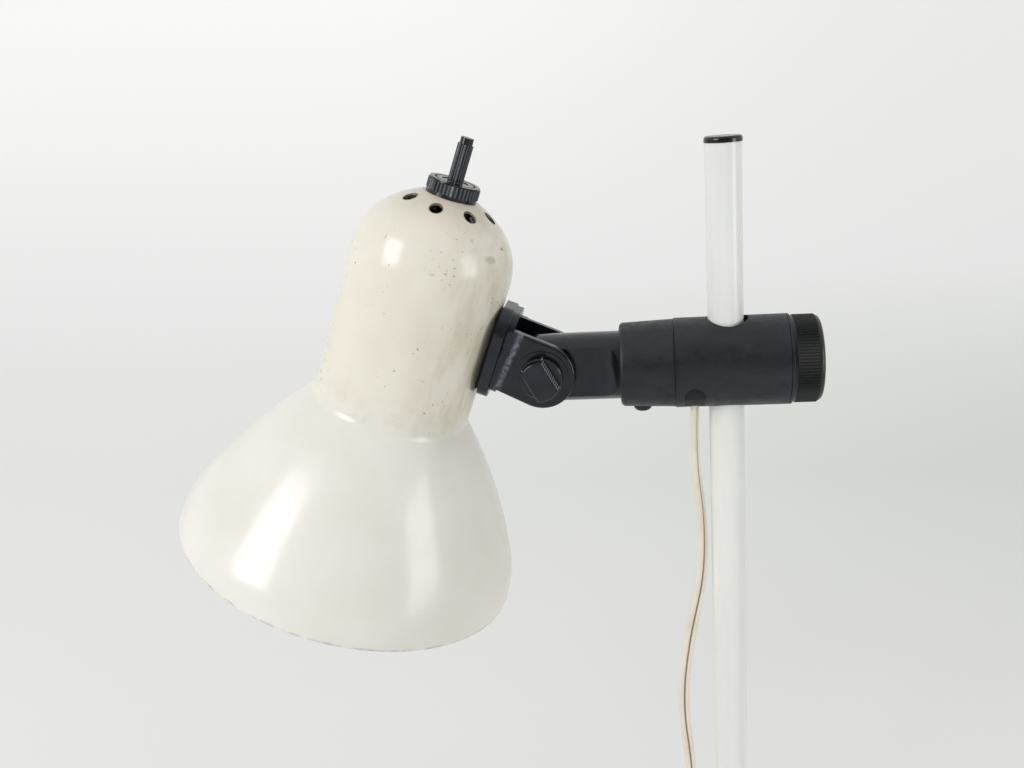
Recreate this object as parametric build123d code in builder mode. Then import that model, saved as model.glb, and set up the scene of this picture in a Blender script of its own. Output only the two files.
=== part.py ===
from build123d import *

import os
from math import acos, cos, degrees, pi, radians, sin, sqrt, tan

# A desk lamp. A weighted round base carries a tubular post. A clamp barrel slides on the post and
# carries a short arm, and a knuckle at the arm's end carries a spun steel shade with its lampholder.
# Origin: underside of the base, on the post's axis. +Z is up, +X runs along the arm to the clamp's
# knob, and -Y is the front. Millimetres.

os.makedirs("parts", exist_ok=True)

# Clearances
running_fit = 0.05  # shaft in its hole, on the radius
seat_gap = 0.05  # fixed piece in its seat, on the radius
face_gap = 0.15  # faces that turn past each other
slip_gap = 0.3  # loose faces that move past each other

# Base
base_r = 95.0
base_h = 22.0
cover_wall = 1.2
cover_edge_r = 6.0
cover_lift = 1.0
pad_t = 2.5
recess_r = 21.0
recess_depth = 10.0
socket_spigot_r = 11.0
socket_flange_r = 17.0
socket_flange_t = 3.0
socket_neck_r = 12.0
socket_h = 10.0
socket_floor = 3.0
ring_nut_t = 3.0
ring_nut_r = 17.0

# Post
post_r = 8.0
post_wall = 1.2
lamp_height = 430.0
cap_t = 2.6
cap_lip = 0.3
cap_plug = 12.0
stud_r = 4.0
stud_collar = 2.0
stud_plug = 20.0
washer_r = 13.0
washer_t = 1.5
post_nut_t = 4.5
post_nut_r = 7.5

# Clamp barrel, on the arm's axis
arm_height = 330.0
barrel_r = 20.5
barrel_left = -23.4
barrel_right = 26.8
post_bore_r = 9.3
post_bore_shift = 0.9
notch_x = -15.0
notch_w = 9.0
notch_top = -7.0
notch_depth = 18.0
grip_recess = 4.7
barrel_wall = 4.8
collar_t = 1.2
collar_spigot_r = 14.0
collar_spigot = 3.0
knob_r = 19.9
knob_len = 13.5
knob_rim = 1.2
knob_straight = 10.6
knob_teeth = 88
knob_tooth_h = 0.45
knob_dome = 0.6
screw_r = 5.0
screw_blind = 3.2
plunger_r = 7.0
plunger_len = 8.0
plunger_travel = 2.0
plunger_socket = 4.0

# Arm and its swivel sleeve
sleeve_len = 24.6
sleeve_r_left = 19.2
sleeve_r_right = 20.1
sleeve_edge_r = 2.0
spigot_r = 13.0
spigot_len = 7.0
clip_t = 1.2
clip_depth = 1.6
clip_reach = 2.0
pocket_r = 15.5
pocket_end = -11.0
arm_r = 15.7
arm_seat = 18.0
flat_half = 10.7
flat_end = -55.5
flat_cutter_r = 8.1
pivot_x = -83.0
flex_bore_r = 4.0
flex_r = 2.1
flex_groove_w = 6.4
flex_groove_top = -6.5
flex_turn = 12.0
button_x = -38.4
button_r = 4.35
button_h = 3.1
button_edge_r = 2.5
button_shank_r = 2.0
button_depth = 12.0

# Knuckle, in the head's own frame: u across the shade's axis, t along it from the rim
head_tilt = 21.74
pivot_u = 64.4
pivot_t = 122.4
pad_gap = 0.8
pad_half = 9.0
pad_low = 104.0
pad_high = 141.5
saddle_t = 5.2
saddle_half = 17.5
saddle_low = 102.0
saddle_high = 145.5
saddle_corner = 12.0
foot_t = 3.0
foot_low = 105.5
foot_high = 144.5
foot_corner = 10.0
cheek_t = 4.0
cheek_low = 109.5
cheek_high = 138.4
cheek_end_r = 15.1
cheek_edge = 1.2
flare_len = 5.6
disc_t = 0.8
disc_r = 12.0
boss_r = 12.0
boss_h = 0.6
pivot_screw_r = 3.0
pivot_nut_r = 5.8
pivot_nut_t = 5.0
grip_disc_r = 9.6
grip_disc_h = 3.4
grip_bar_w = 10.9
grip_bar_h = 5.0
grip_angle = -62.2
backing_t = 2.5
backing_low = 108.0
backing_high = 137.0
backing_half = 9.0
bolt_r = 2.0
bolt_head_r = 4.0
bolt_head_t = 2.6
bolt_spacing = 22.0
flex_hole_r = 3.2

# Shade, spun from one sheet
rim_r = 83.5
sheet_t = 0.8
hem_h = 3.2
hem_t = 0.9
rim_curve_r = 40.0
rim_turn = 25.0
bell_curve_r = 264.0
crease_r = 6.0
neck_r = 37.3
neck_top = 153.0
shoulder_r = 30.0
shoulder_turn = 50.0
crown_r = 52.0
land_r = 13.0
vent_count = 8
vent_r = 2.9
vent_ring_r = 19.8
vent_phase = -49.8

# Lampholder, its nut and the rotary switch
bush_r = 6.0
bush_flange_r = 9.0
bush_flange_t = 2.0
holder_washer_t = 0.8
holder_washer_r = 11.6
nut_r = 12.0
nut_h = 6.2
nut_teeth = 40
nut_tooth_h = 0.5
spindle_r = 3.6
spindle_len = 19.8
spindle_teeth = 18
spindle_tooth_h = 0.35
spindle_slot = 1.2
spindle_slot_depth = 3.0
spindle_spline = 16.8
spindle_tip = 5.9
holder_r = 21.0
holder_wall = 2.0
holder_cap_h = 33.5
holder_wall_h = 18.4
holder_inner_h = 16.8
holder_flange_h = 26.1
flex_entry_h = 8.4
holder_body_h = 38.0
block_t = 10.0
rotor_r = 8.0
rotor_t = 7.0
shell_r = 13.95
shell_wall = 0.5
shell_len = 28.0
bulb_cap_r = 13.1
bulb_cap_len = 25.0
bulb_r = 30.0
bulb_len = 107.0
bulb_neck_r = 11.6
glass_t = 0.8
contact_r = 4.5

# Flat twin cord and its plug
cord_w = 5.6
cord_t = 2.8
cord_exit = (-14.6, -7.0)
cord_exit_drop = 15.2
corner_share = 0.45
floor_gap = 0.1
coil_inner_r = 22.4
coil_pitch = 6.2
coil_climb = 3.4
coil_turns_layer = 3
coil_samples = 24
coil_x = -165.0
coil_y = 6.0
plug_tail = 6.0
plug_relief = 24.0
plug_len = 31.0
plug_half = 17.0
plug_neck_half = 6.0
plug_t = 13.7
plug_neck_t = 11.0
plug_taper = 18.6
relief_half = 4.8
relief_t = 8.2
pin_r = 2.0
pin_len = 19.0
pin_spacing = 18.6
pin_sleeve = 10.0
pin_sleeve_r = 1.7
pin_end_r = 1.4

# Planes and places worked out from the sizes above
ARM = Plane(origin=(0, 0, arm_height), x_dir=(0, 1, 0), z_dir=(1, 0, 0))
SIDE = Plane(origin=(0, 0, arm_height), x_dir=(1, 0, 0), z_dir=(0, -1, 0))
TOP = Plane(origin=(0, 0, arm_height), x_dir=(1, 0, 0), z_dir=(0, 0, 1))
arm_axis = Axis((0, 0, arm_height), (1, 0, 0))
head_right = Vector(cos(radians(head_tilt)), 0, -sin(radians(head_tilt)))
head_up = Vector(sin(radians(head_tilt)), 0, cos(radians(head_tilt)))
pivot = Vector(pivot_x, 0, arm_height)
rim_centre = pivot - head_right * pivot_u - head_up * pivot_t
HEAD = Plane(origin=rim_centre, x_dir=head_right, z_dir=head_up)
PROFILE = Plane(origin=rim_centre, x_dir=head_right, z_dir=(0, -1, 0))
BEHIND_NECK = Plane(origin=rim_centre, x_dir=(0, 1, 0), z_dir=head_right)
head_axis = Axis(rim_centre, head_up)


def gear_points(tip_r, tooth_h, teeth):
    """Corners of small vee teeth round a circle."""
    points = []
    for tooth in range(teeth):
        for turn, radius in ((tooth, tip_r), (tooth + 0.5, tip_r - tooth_h)):
            angle = 2 * pi * turn / teeth
            points.append((radius * cos(angle), radius * sin(angle)))
    return points


def revolved(points, plane, axis):
    """Solid of revolution of a closed outline of straight lines."""
    with BuildSketch(plane) as section:
        with BuildLine():
            Polyline(*points, close=True)
        make_face()
    revolve(section.sketch, axis=axis)


# Base: pressed cover over a cast weight, held together by the post's socket and its ring nut
inner_base_r = base_r - cover_wall - slip_gap
with BuildPart() as base_cover:
    with BuildSketch(Plane.XY.offset(cover_lift)):
        Circle(base_r)
    extrude(amount=base_h - cover_lift)
    fillet(base_cover.edges().group_by(Axis.Z)[-1], cover_edge_r)
    offset(amount=-cover_wall, openings=base_cover.faces().sort_by(Axis.Z)[0])
    with BuildSketch(Plane.XY.offset(base_h - 2 * cover_wall)):
        Circle(socket_spigot_r + seat_gap)
    extrude(amount=3 * cover_wall, mode=Mode.SUBTRACT)
base_cover.part.label = "base_cover"
export_step(base_cover.part, "parts/base_cover.step")

recess_roof = pad_t + recess_depth
weight_top = base_h - cover_wall
with BuildPart() as base_weight:
    with BuildSketch(Plane.XY.offset(pad_t)):
        Circle(inner_base_r)
        Circle(socket_spigot_r + seat_gap, mode=Mode.SUBTRACT)
    extrude(amount=weight_top - pad_t)
    outer_top = base_weight.edges().group_by(Axis.Z)[-1].sort_by(SortBy.RADIUS)[-1]
    fillet(outer_top, cover_edge_r)
    with BuildSketch(Plane.XY.offset(pad_t)):
        Circle(recess_r)
    extrude(amount=recess_depth, mode=Mode.SUBTRACT)
base_weight.part.label = "base_weight"
export_step(base_weight.part, "parts/base_weight.step")

with BuildPart() as base_pad:
    with BuildSketch():
        Circle(inner_base_r)
    extrude(amount=pad_t)
    chamfer(base_pad.edges().group_by(Axis.Z)[0], pad_t / 5)
base_pad.part.label = "base_pad"
export_step(base_pad.part, "parts/base_pad.step")

socket_low = recess_roof - ring_nut_t
with BuildPart() as post_socket:
    revolved(
        [
            (0, socket_low),
            (socket_spigot_r, socket_low),
            (socket_spigot_r, base_h),
            (socket_flange_r, base_h),
            (socket_flange_r, base_h + socket_flange_t),
            (socket_neck_r, base_h + socket_h),
            (0, base_h + socket_h),
        ],
        Plane.XZ,
        Axis.Z,
    )
    flange_rim = post_socket.edges().filter_by(GeomType.CIRCLE).filter_by(
        lambda edge: abs(edge.center().Z - base_h - socket_flange_t) < seat_gap
    )
    fillet(flange_rim, socket_flange_t / 3)
    with BuildSketch(Plane.XY.offset(socket_low + socket_floor)):
        Circle(post_r + running_fit)
    extrude(amount=base_h + socket_h, mode=Mode.SUBTRACT)
    with BuildSketch(Plane.XY.offset(socket_low)):
        Circle(stud_r + slip_gap)
    extrude(amount=socket_floor, mode=Mode.SUBTRACT)
    chamfer(post_socket.edges().group_by(Axis.Z)[-1], (socket_neck_r - post_r) / 6)
post_socket.part.label = "post_socket"
export_step(post_socket.part, "parts/post_socket.step")

with BuildPart() as socket_nut:
    with BuildSketch(Plane.XY.offset(socket_low)):
        RegularPolygon(ring_nut_r, 6)
        Circle(socket_spigot_r + seat_gap, mode=Mode.SUBTRACT)
    extrude(amount=ring_nut_t)
socket_nut.part.label = "socket_nut"
export_step(socket_nut.part, "parts/socket_nut.step")

# Post, with its cap above and its stud, washer and nut below the socket's floor
floor_top = socket_low + socket_floor
post_low = floor_top + running_fit + stud_collar
post_top = lamp_height - cap_t
post_inner_r = post_r - post_wall
with BuildPart() as post:
    with BuildSketch(Plane.XY.offset(post_low)):
        Circle(post_r)
        Circle(post_inner_r, mode=Mode.SUBTRACT)
    extrude(amount=post_top - post_low)
post.part.label = "post"
export_step(post.part, "parts/post.step")

with BuildPart() as post_cap:
    with BuildSketch(Plane.XY.offset(post_top)):
        Circle(post_r + cap_lip)
    extrude(amount=cap_t)
    fillet(post_cap.edges().group_by(Axis.Z)[-1], cap_t / 2)
    with BuildSketch(Plane.XY.offset(post_top)):
        Circle(post_inner_r - seat_gap)
    extrude(amount=-cap_plug)
post_cap.part.label = "post_cap"
export_step(post_cap.part, "parts/post_cap.step")

washer_top = socket_low - face_gap
nut_top = washer_top - washer_t
with BuildPart() as post_stud:
    with BuildSketch(Plane.XY.offset(nut_top - post_nut_t)):
        Circle(stud_r)
    extrude(amount=post_low - nut_top + post_nut_t)
    with BuildSketch(Plane.XY.offset(post_low - stud_collar)):
        Circle(post_r)
    extrude(amount=stud_collar)
    with BuildSketch(Plane.XY.offset(post_low)):
        Circle(post_inner_r - seat_gap)
    extrude(amount=stud_plug)
post_stud.part.label = "post_stud"
export_step(post_stud.part, "parts/post_stud.step")

with BuildPart() as post_washer:
    with BuildSketch(Plane.XY.offset(nut_top)):
        Circle(washer_r)
        Circle(stud_r + seat_gap, mode=Mode.SUBTRACT)
    extrude(amount=washer_t)
post_washer.part.label = "post_washer"
export_step(post_washer.part, "parts/post_washer.step")

with BuildPart() as post_nut:
    with BuildSketch(Plane.XY.offset(nut_top - post_nut_t)):
        RegularPolygon(post_nut_r, 6)
        Circle(stud_r + seat_gap, mode=Mode.SUBTRACT)
    extrude(amount=post_nut_t)
post_nut.part.label = "post_nut"
export_step(post_nut.part, "parts/post_nut.step")

# Clamp barrel: a round body bored for the post, the swivel spigot, the plunger and the knob's screw
plunger_face = post_r + running_fit
plunger_back = plunger_face + plunger_len
pocket_back = plunger_back + plunger_travel + slip_gap
with BuildPart() as clamp_body:
    with BuildSketch(ARM.offset(barrel_left)):
        Circle(barrel_r)
    extrude(amount=barrel_right - barrel_left)
    chamfer(clamp_body.edges().filter_by(GeomType.CIRCLE), 2 * face_gap)
    with BuildSketch(ARM.offset(barrel_left)):
        Circle(spigot_r + running_fit)
    extrude(amount=pocket_end - barrel_left, mode=Mode.SUBTRACT)
    with BuildSketch(ARM.offset(barrel_left + spigot_len - clip_reach - clip_t - face_gap)):
        Circle(pocket_r)
    extrude(
        amount=pocket_end - barrel_left - spigot_len + clip_reach + clip_t + face_gap,
        mode=Mode.SUBTRACT,
    )
    with BuildSketch(ARM.offset(plunger_face - post_r)):
        Circle(plunger_r + running_fit)
    extrude(amount=pocket_back - plunger_face + post_r, mode=Mode.SUBTRACT)
    with BuildSketch(ARM.offset(pocket_back)):
        Circle(screw_r + running_fit)
    extrude(amount=barrel_right - pocket_back, mode=Mode.SUBTRACT)
    with BuildSketch(ARM.offset(barrel_right - collar_spigot)):
        Circle(collar_spigot_r + seat_gap)
    extrude(amount=collar_spigot, mode=Mode.SUBTRACT)
    with BuildSketch(TOP.offset(-barrel_r)):
        with Locations((post_bore_shift, 0)):
            Circle(post_bore_r)
    extrude(amount=2 * barrel_r, mode=Mode.SUBTRACT)
    with BuildSketch(SIDE.offset(barrel_r)):
        with Locations((notch_x, notch_top - notch_w / 2)):
            Circle(notch_w / 2)
        with Locations((notch_x, (notch_top - notch_w / 2 - barrel_r) / 2)):
            Rectangle(notch_w, barrel_r + notch_top - notch_w / 2)
    extrude(amount=-notch_depth, mode=Mode.SUBTRACT)
clamp_body.part.label = "clamp_body"
export_step(clamp_body.part, "parts/clamp_body.step")

grip_w = notch_w - 2 * seat_gap
grip_face = -barrel_r + barrel_wall / 2
with BuildPart() as cord_grip:
    with BuildSketch(SIDE.offset(barrel_r)):
        with Locations((notch_x, notch_top - notch_w / 2)):
            Circle(grip_w / 2)
        with Locations((notch_x, (notch_top - notch_w / 2 - barrel_r) / 2)):
            Rectangle(grip_w, barrel_r + notch_top - notch_w / 2)
    extrude(amount=seat_gap - notch_depth)
    with BuildSketch(ARM.offset(notch_x - grip_w / 2)):
        Circle(barrel_r - seat_gap)
        Circle(barrel_r - barrel_wall + seat_gap, mode=Mode.SUBTRACT)
    extrude(amount=grip_w, mode=Mode.INTERSECT)
    with BuildSketch(TOP.offset(grip_face)):
        with Locations(cord_exit):
            Rectangle(cord_t + 2 * slip_gap, cord_w + 2 * slip_gap)
    extrude(amount=2 * barrel_wall, both=True, mode=Mode.SUBTRACT)
    with BuildSketch(SIDE.offset(barrel_r)):
        with Locations((notch_x, notch_top - notch_w)):
            Rectangle(2 * notch_w, 2 * barrel_r)
    extrude(amount=-grip_recess, mode=Mode.SUBTRACT)
cord_grip.part.label = "cord_grip"
export_step(cord_grip.part, "parts/cord_grip.step")

collar_right = barrel_right + collar_t
with BuildPart() as end_collar:
    with BuildSketch(ARM.offset(barrel_right)):
        Circle(barrel_r)
    extrude(amount=collar_t)
    with BuildSketch(ARM.offset(barrel_right - collar_spigot)):
        Circle(collar_spigot_r)
    extrude(amount=collar_spigot)
    with BuildSketch(ARM.offset(barrel_right - collar_spigot)):
        Circle(screw_r + slip_gap)
    extrude(amount=collar_spigot + collar_t, mode=Mode.SUBTRACT)
    chamfer(end_collar.faces().sort_by(Axis.X)[-1].edges().sort_by(SortBy.RADIUS)[-1], collar_t / 4)
end_collar.part.label = "end_collar"
export_step(end_collar.part, "parts/end_collar.step")

# Plunger: a shoe hollowed to the post, pushed by the knob's screw, which turns in its socket
socket_r = screw_r - 1
with BuildPart() as clamp_plunger:
    with BuildSketch(ARM.offset(plunger_face - post_r + plunger_r)):
        Circle(plunger_r)
    extrude(amount=plunger_back - plunger_face + post_r - plunger_r)
    with BuildSketch(TOP.offset(-plunger_r)):
        Circle(post_r + running_fit)
    extrude(amount=2 * plunger_r, mode=Mode.SUBTRACT)
    with BuildSketch(ARM.offset(plunger_back - plunger_socket)):
        Circle(socket_r + running_fit)
    extrude(amount=plunger_socket, mode=Mode.SUBTRACT)
clamp_plunger.part.label = "clamp_plunger"
export_step(clamp_plunger.part, "parts/clamp_plunger.step")

knob_left = collar_right + face_gap
knob_right = knob_left + knob_len
screw_end = knob_right - screw_blind
with BuildPart() as clamp_screw:
    with BuildSketch(ARM.offset(plunger_back + running_fit)):
        Circle(screw_r)
    extrude(amount=screw_end - plunger_back - running_fit)
    with BuildSketch(ARM.offset(plunger_back - plunger_socket + running_fit)):
        Circle(socket_r)
    extrude(amount=plunger_socket)
clamp_screw.part.label = "clamp_screw"
export_step(clamp_screw.part, "parts/clamp_screw.step")

knob_root_r = knob_r - knob_tooth_h
knob_edge = knob_len - knob_straight - knob_dome
face_r = knob_root_r - knob_edge
edge_top = (knob_left + knob_straight, knob_root_r)
edge_side = (knob_right - knob_dome, face_r)
dome_r = (face_r**2 + knob_dome**2) / (2 * knob_dome)
dome_mid = (knob_right - dome_r + sqrt(dome_r**2 - face_r**2 / 4), face_r / 2)
with BuildPart() as clamp_knob:
    with BuildSketch(ARM.offset(knob_left)):
        Circle(knob_root_r)
    extrude(amount=knob_rim)
    with BuildSketch(ARM.offset(knob_left + knob_rim)):
        with BuildLine():
            Polyline(*gear_points(knob_r, knob_tooth_h, knob_teeth), close=True)
        make_face()
    extrude(amount=knob_straight - knob_rim)
    with BuildSketch(SIDE):
        with BuildLine():
            Line((knob_left + knob_straight, 0), edge_top)
            JernArc(edge_top, (1, 0), knob_edge, -90)
            ThreePointArc(edge_side, dome_mid, (knob_right, 0))
            Line((knob_right, 0), (knob_left + knob_straight, 0))
        make_face()
    revolve(axis=arm_axis)
    with BuildSketch(ARM.offset(knob_left)):
        Circle(screw_r + seat_gap)
    extrude(amount=screw_end - knob_left, mode=Mode.SUBTRACT)
clamp_knob.part.label = "clamp_knob"
export_step(clamp_knob.part, "parts/clamp_knob.step")

# Arm: a round bar with milled flats, held in the sleeve by a screw; the sleeve swivels in the barrel
sleeve_right = barrel_left - face_gap
sleeve_left = barrel_left - sleeve_len
arm_end = sleeve_left + arm_seat
spigot_end = barrel_left + spigot_len
clip_left = spigot_end - clip_reach - clip_t
button_seat = arm_height - sleeve_r_left
with BuildPart() as arm_sleeve:
    revolved(
        [
            (sleeve_left, arm_r + seat_gap),
            (sleeve_left, sleeve_r_left),
            (sleeve_right, sleeve_r_right),
            (sleeve_right, spigot_r),
            (clip_left, spigot_r),
            (clip_left, spigot_r - clip_depth),
            (clip_left + clip_t, spigot_r - clip_depth),
            (clip_left + clip_t, spigot_r),
            (spigot_end, spigot_r),
            (spigot_end, spigot_r - 2 * clip_depth),
            (arm_end, spigot_r - 2 * clip_depth),
            (arm_end, arm_r + seat_gap),
        ],
        SIDE,
        arm_axis,
    )
    left_rim = arm_sleeve.edges().filter_by(GeomType.CIRCLE).sort_by(Axis.X)[:2].sort_by(SortBy.RADIUS)[-1]
    fillet(left_rim, sleeve_edge_r)
    with BuildSketch(Plane.XY.offset(button_seat - button_h)):
        with Locations((button_x, 0)):
            Circle(button_r + seat_gap)
    extrude(amount=button_h, mode=Mode.SUBTRACT)
    with BuildSketch(Plane.XY.offset(button_seat)):
        with Locations((button_x, 0)):
            Circle(button_shank_r + seat_gap)
    extrude(amount=sleeve_r_left - arm_r / 2, mode=Mode.SUBTRACT)
arm_sleeve.part.label = "arm_sleeve"
export_step(arm_sleeve.part, "parts/arm_sleeve.step")

with BuildPart() as swivel_clip:
    with BuildSketch(ARM.offset(clip_left + seat_gap)):
        Circle(spigot_r + clip_reach)
        Circle(spigot_r - clip_depth + seat_gap, mode=Mode.SUBTRACT)
        with Locations((0, spigot_r)):
            Rectangle(spigot_r / 2, spigot_r, mode=Mode.SUBTRACT)
    extrude(amount=clip_t - 2 * seat_gap)
swivel_clip.part.label = "swivel_clip"
export_step(swivel_clip.part, "parts/swivel_clip.step")

tongue_left = pivot_x - arm_r
with BuildPart() as arm:
    with BuildSketch(ARM.offset(tongue_left)):
        Circle(arm_r)
    extrude(amount=arm_end - tongue_left)
    with BuildSketch(SIDE):
        with Locations((pivot_x, 0)):
            Circle(arm_r)
        with Locations(((pivot_x + arm_end) / 2, 0)):
            Rectangle(arm_end - pivot_x, 2 * arm_r)
    extrude(amount=arm_r, both=True, mode=Mode.INTERSECT)
    for side in (1, -1):
        with BuildSketch(TOP):
            with Locations(((tongue_left + flat_end) / 2, side * (flat_half + arm_r) / 2)):
                Rectangle(flat_end - tongue_left, arm_r - flat_half)
            with Locations((flat_end, side * (flat_half + flat_cutter_r))):
                Circle(flat_cutter_r)
        extrude(amount=arm_r, both=True, mode=Mode.SUBTRACT)
    with BuildSketch(SIDE):
        with Locations((pivot_x, 0)):
            Circle(pivot_screw_r + running_fit)
    extrude(amount=arm_r, both=True, mode=Mode.SUBTRACT)
    with BuildSketch(ARM.offset(pivot_x + flex_turn)):
        Circle(flex_bore_r)
    extrude(amount=arm_end - pivot_x - flex_turn, mode=Mode.SUBTRACT)
    with BuildSketch(SIDE):
        with Locations(((tongue_left + pivot_x + flex_turn) / 2, (flex_groove_top - arm_r) / 2)):
            Rectangle(pivot_x + flex_turn - tongue_left, arm_r + flex_groove_top)
        with Locations((pivot_x + flex_turn, (flex_bore_r - arm_r) / 2)):
            Rectangle(flex_groove_w, arm_r + flex_bore_r)
    extrude(amount=flex_groove_w / 2, both=True, mode=Mode.SUBTRACT)
    with BuildSketch(Plane.XY.offset(button_seat)):
        with Locations((button_x, 0)):
            Circle(button_shank_r + seat_gap)
    extrude(amount=button_depth, mode=Mode.SUBTRACT)
arm.part.label = "arm"
export_step(arm.part, "parts/arm.step")

with BuildPart() as sleeve_screw:
    with BuildSketch(Plane.XY.offset(button_seat)):
        with Locations((button_x, 0)):
            Circle(button_r)
    extrude(amount=-button_h)
    fillet(sleeve_screw.edges().group_by(Axis.Z)[0], button_edge_r)
    with BuildSketch(Plane.XY.offset(button_seat)):
        with Locations((button_x, 0)):
            Circle(button_shank_r)
    extrude(amount=button_depth - slip_gap)
sleeve_screw.part.label = "sleeve_screw"
export_step(sleeve_screw.part, "parts/sleeve_screw.step")

flex_z = flex_r - flex_bore_r + seat_gap
with BuildPart() as arm_flex:
    with BuildSketch(ARM.offset(pivot_x + flex_turn - flex_groove_w / 2)):
        with Locations((0, flex_z)):
            Circle(flex_r)
    extrude(amount=pocket_end - slip_gap - pivot_x - flex_turn + flex_groove_w / 2)
arm_flex.part.label = "arm_flex"
export_step(arm_flex.part, "parts/arm_flex.step")

# Knuckle: pad, saddle and fork bolted to the neck, with a backing strip inside it
saddle_u = neck_r + pad_gap
foot_u = saddle_u + saddle_t
foot_face = foot_u + foot_t
cheek_in = flat_half + face_gap + disc_t
cheek_out = cheek_in + cheek_t
bolt_places = [pivot_t - bolt_spacing / 2, pivot_t + bolt_spacing / 2]


def bolt_holes(radius, start, length):
    """Holes for the two bolts, through whatever the active part has between start and its end."""
    with BuildSketch(BEHIND_NECK.offset(start)) as holes:
        with Locations(*[(0, place) for place in bolt_places]):
            Circle(radius)
    extrude(holes.sketch, amount=length, mode=Mode.SUBTRACT)


def flex_hole(start, length):
    """Hole for the flex between the two bolts."""
    with BuildSketch(BEHIND_NECK.offset(start)) as hole:
        with Locations((0, pivot_t)):
            Circle(flex_hole_r)
    extrude(hole.sketch, amount=length, mode=Mode.SUBTRACT)


with BuildPart() as bracket_pad:
    with BuildSketch(HEAD.offset(pad_low)):
        with Locations((saddle_u - neck_r / 2, 0)):
            Rectangle(neck_r, 2 * pad_half)
        Circle(neck_r + seat_gap, mode=Mode.SUBTRACT)
    extrude(amount=pad_high - pad_low)
    fillet(bracket_pad.edges().filter_by(Axis(rim_centre, head_right)), pad_half / 3)
    bolt_holes(bolt_r + seat_gap, neck_r - pad_half, 2 * pad_half)
    flex_hole(neck_r - pad_half, 2 * pad_half)
bracket_pad.part.label = "bracket_pad"
export_step(bracket_pad.part, "parts/bracket_pad.step")

saddle_places = (0, (saddle_low + saddle_high) / 2)
with BuildPart() as neck_saddle:
    with BuildSketch(BEHIND_NECK.offset(saddle_u)):
        with Locations(saddle_places):
            RectangleRounded(2 * saddle_half, saddle_high - saddle_low, saddle_corner)
    extrude(amount=saddle_t)
    chamfer(neck_saddle.faces().sort_by(Axis(rim_centre, head_right))[-1].edges(), saddle_t / 12)
    bolt_holes(bolt_r + seat_gap, saddle_u, saddle_t)
    flex_hole(saddle_u, saddle_t)
neck_saddle.part.label = "neck_saddle"
export_step(neck_saddle.part, "parts/neck_saddle.step")

# Each cheek widens towards the saddle in a hollow curve, cut off at the saddle's outline
with BuildPart() as flares:
    with BuildSketch(HEAD.offset(cheek_low)):
        for side in (1, -1):
            with BuildLine():
                curve = TangentArc(
                    (foot_u + flare_len, side * cheek_out), (foot_u, side * saddle_half), tangent=(-1, 0)
                )
                Polyline(curve @ 1, (foot_u, side * cheek_in), (foot_u + flare_len, side * cheek_in), curve @ 0)
            make_face()
    extrude(amount=cheek_high - cheek_low)
    with BuildSketch(BEHIND_NECK.offset(foot_u)):
        with Locations(saddle_places):
            RectangleRounded(2 * saddle_half, saddle_high - saddle_low, saddle_corner)
    extrude(amount=flare_len, mode=Mode.INTERSECT)

with BuildPart() as fork:
    for side in (1, -1):
        with BuildPart(mode=Mode.PRIVATE) as cheek:
            with BuildSketch(PROFILE.offset(side * cheek_in)):
                with Locations((foot_u + foot_t / 2, (cheek_low + cheek_high) / 2)):
                    Rectangle(foot_t, cheek_high - cheek_low)
                with Locations((pivot_u, pivot_t)):
                    Circle(cheek_end_r)
                make_hull()
            extrude(amount=side * cheek_t)
            outer_face = cheek.faces().sort_by(Axis.Y)[0 if side == 1 else -1]
            fillet(outer_face.edges().sort_by(Axis(rim_centre, head_right))[1:], cheek_edge)
        add(cheek.part)
    add(flares.part)
    with BuildSketch(BEHIND_NECK.offset(foot_u)):
        with Locations((0, (foot_low + foot_high) / 2)):
            RectangleRounded(2 * cheek_out, foot_high - foot_low, foot_corner)
    extrude(amount=foot_t)
    for side in (1, -1):
        with BuildSketch(PROFILE.offset(side * cheek_out)):
            with Locations((pivot_u, pivot_t)):
                Circle(boss_r)
        extrude(amount=side * boss_h)
    with BuildSketch(PROFILE.offset(-cheek_out - boss_h)):
        with Locations((pivot_u, pivot_t)):
            RegularPolygon(pivot_nut_r + seat_gap, 6)
    extrude(amount=pivot_nut_t / 2, mode=Mode.SUBTRACT)
    with BuildSketch(PROFILE):
        with Locations((pivot_u, pivot_t)):
            Circle(pivot_screw_r + running_fit)
    extrude(amount=2 * cheek_out, both=True, mode=Mode.SUBTRACT)
    bolt_holes(bolt_r + seat_gap, foot_u, foot_t)
    flex_hole(foot_u, foot_t)
fork.part.label = "fork"
export_step(fork.part, "parts/fork.step")

with BuildPart() as friction_discs:
    for side in (1, -1):
        with BuildSketch(PROFILE.offset(side * (flat_half + face_gap))):
            with Locations((pivot_u, pivot_t)):
                Circle(disc_r)
                Circle(pivot_screw_r + running_fit, mode=Mode.SUBTRACT)
        extrude(amount=side * disc_t)
friction_discs.part.label = "friction_discs"
export_step(friction_discs.part, "parts/friction_discs.step")

knob_seat = cheek_out + boss_h + face_gap
nut_seat = -cheek_out - boss_h + pivot_nut_t / 2
screw_grip = grip_disc_h + grip_bar_h / 2
with BuildPart() as pivot_nut:
    with BuildSketch(PROFILE.offset(nut_seat)):
        with Locations((pivot_u, pivot_t)):
            RegularPolygon(pivot_nut_r, 6)
            Circle(pivot_screw_r + running_fit, mode=Mode.SUBTRACT)
    extrude(amount=-pivot_nut_t)
pivot_nut.part.label = "pivot_nut"
export_step(pivot_nut.part, "parts/pivot_nut.step")

with BuildPart() as pivot_screw:
    with BuildSketch(SIDE.offset(knob_seat + screw_grip)):
        with Locations((pivot_x, 0)):
            Circle(pivot_screw_r)
    extrude(amount=nut_seat - pivot_nut_t - knob_seat - screw_grip)
pivot_screw.part.label = "pivot_screw"
export_step(pivot_screw.part, "parts/pivot_screw.step")

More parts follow.
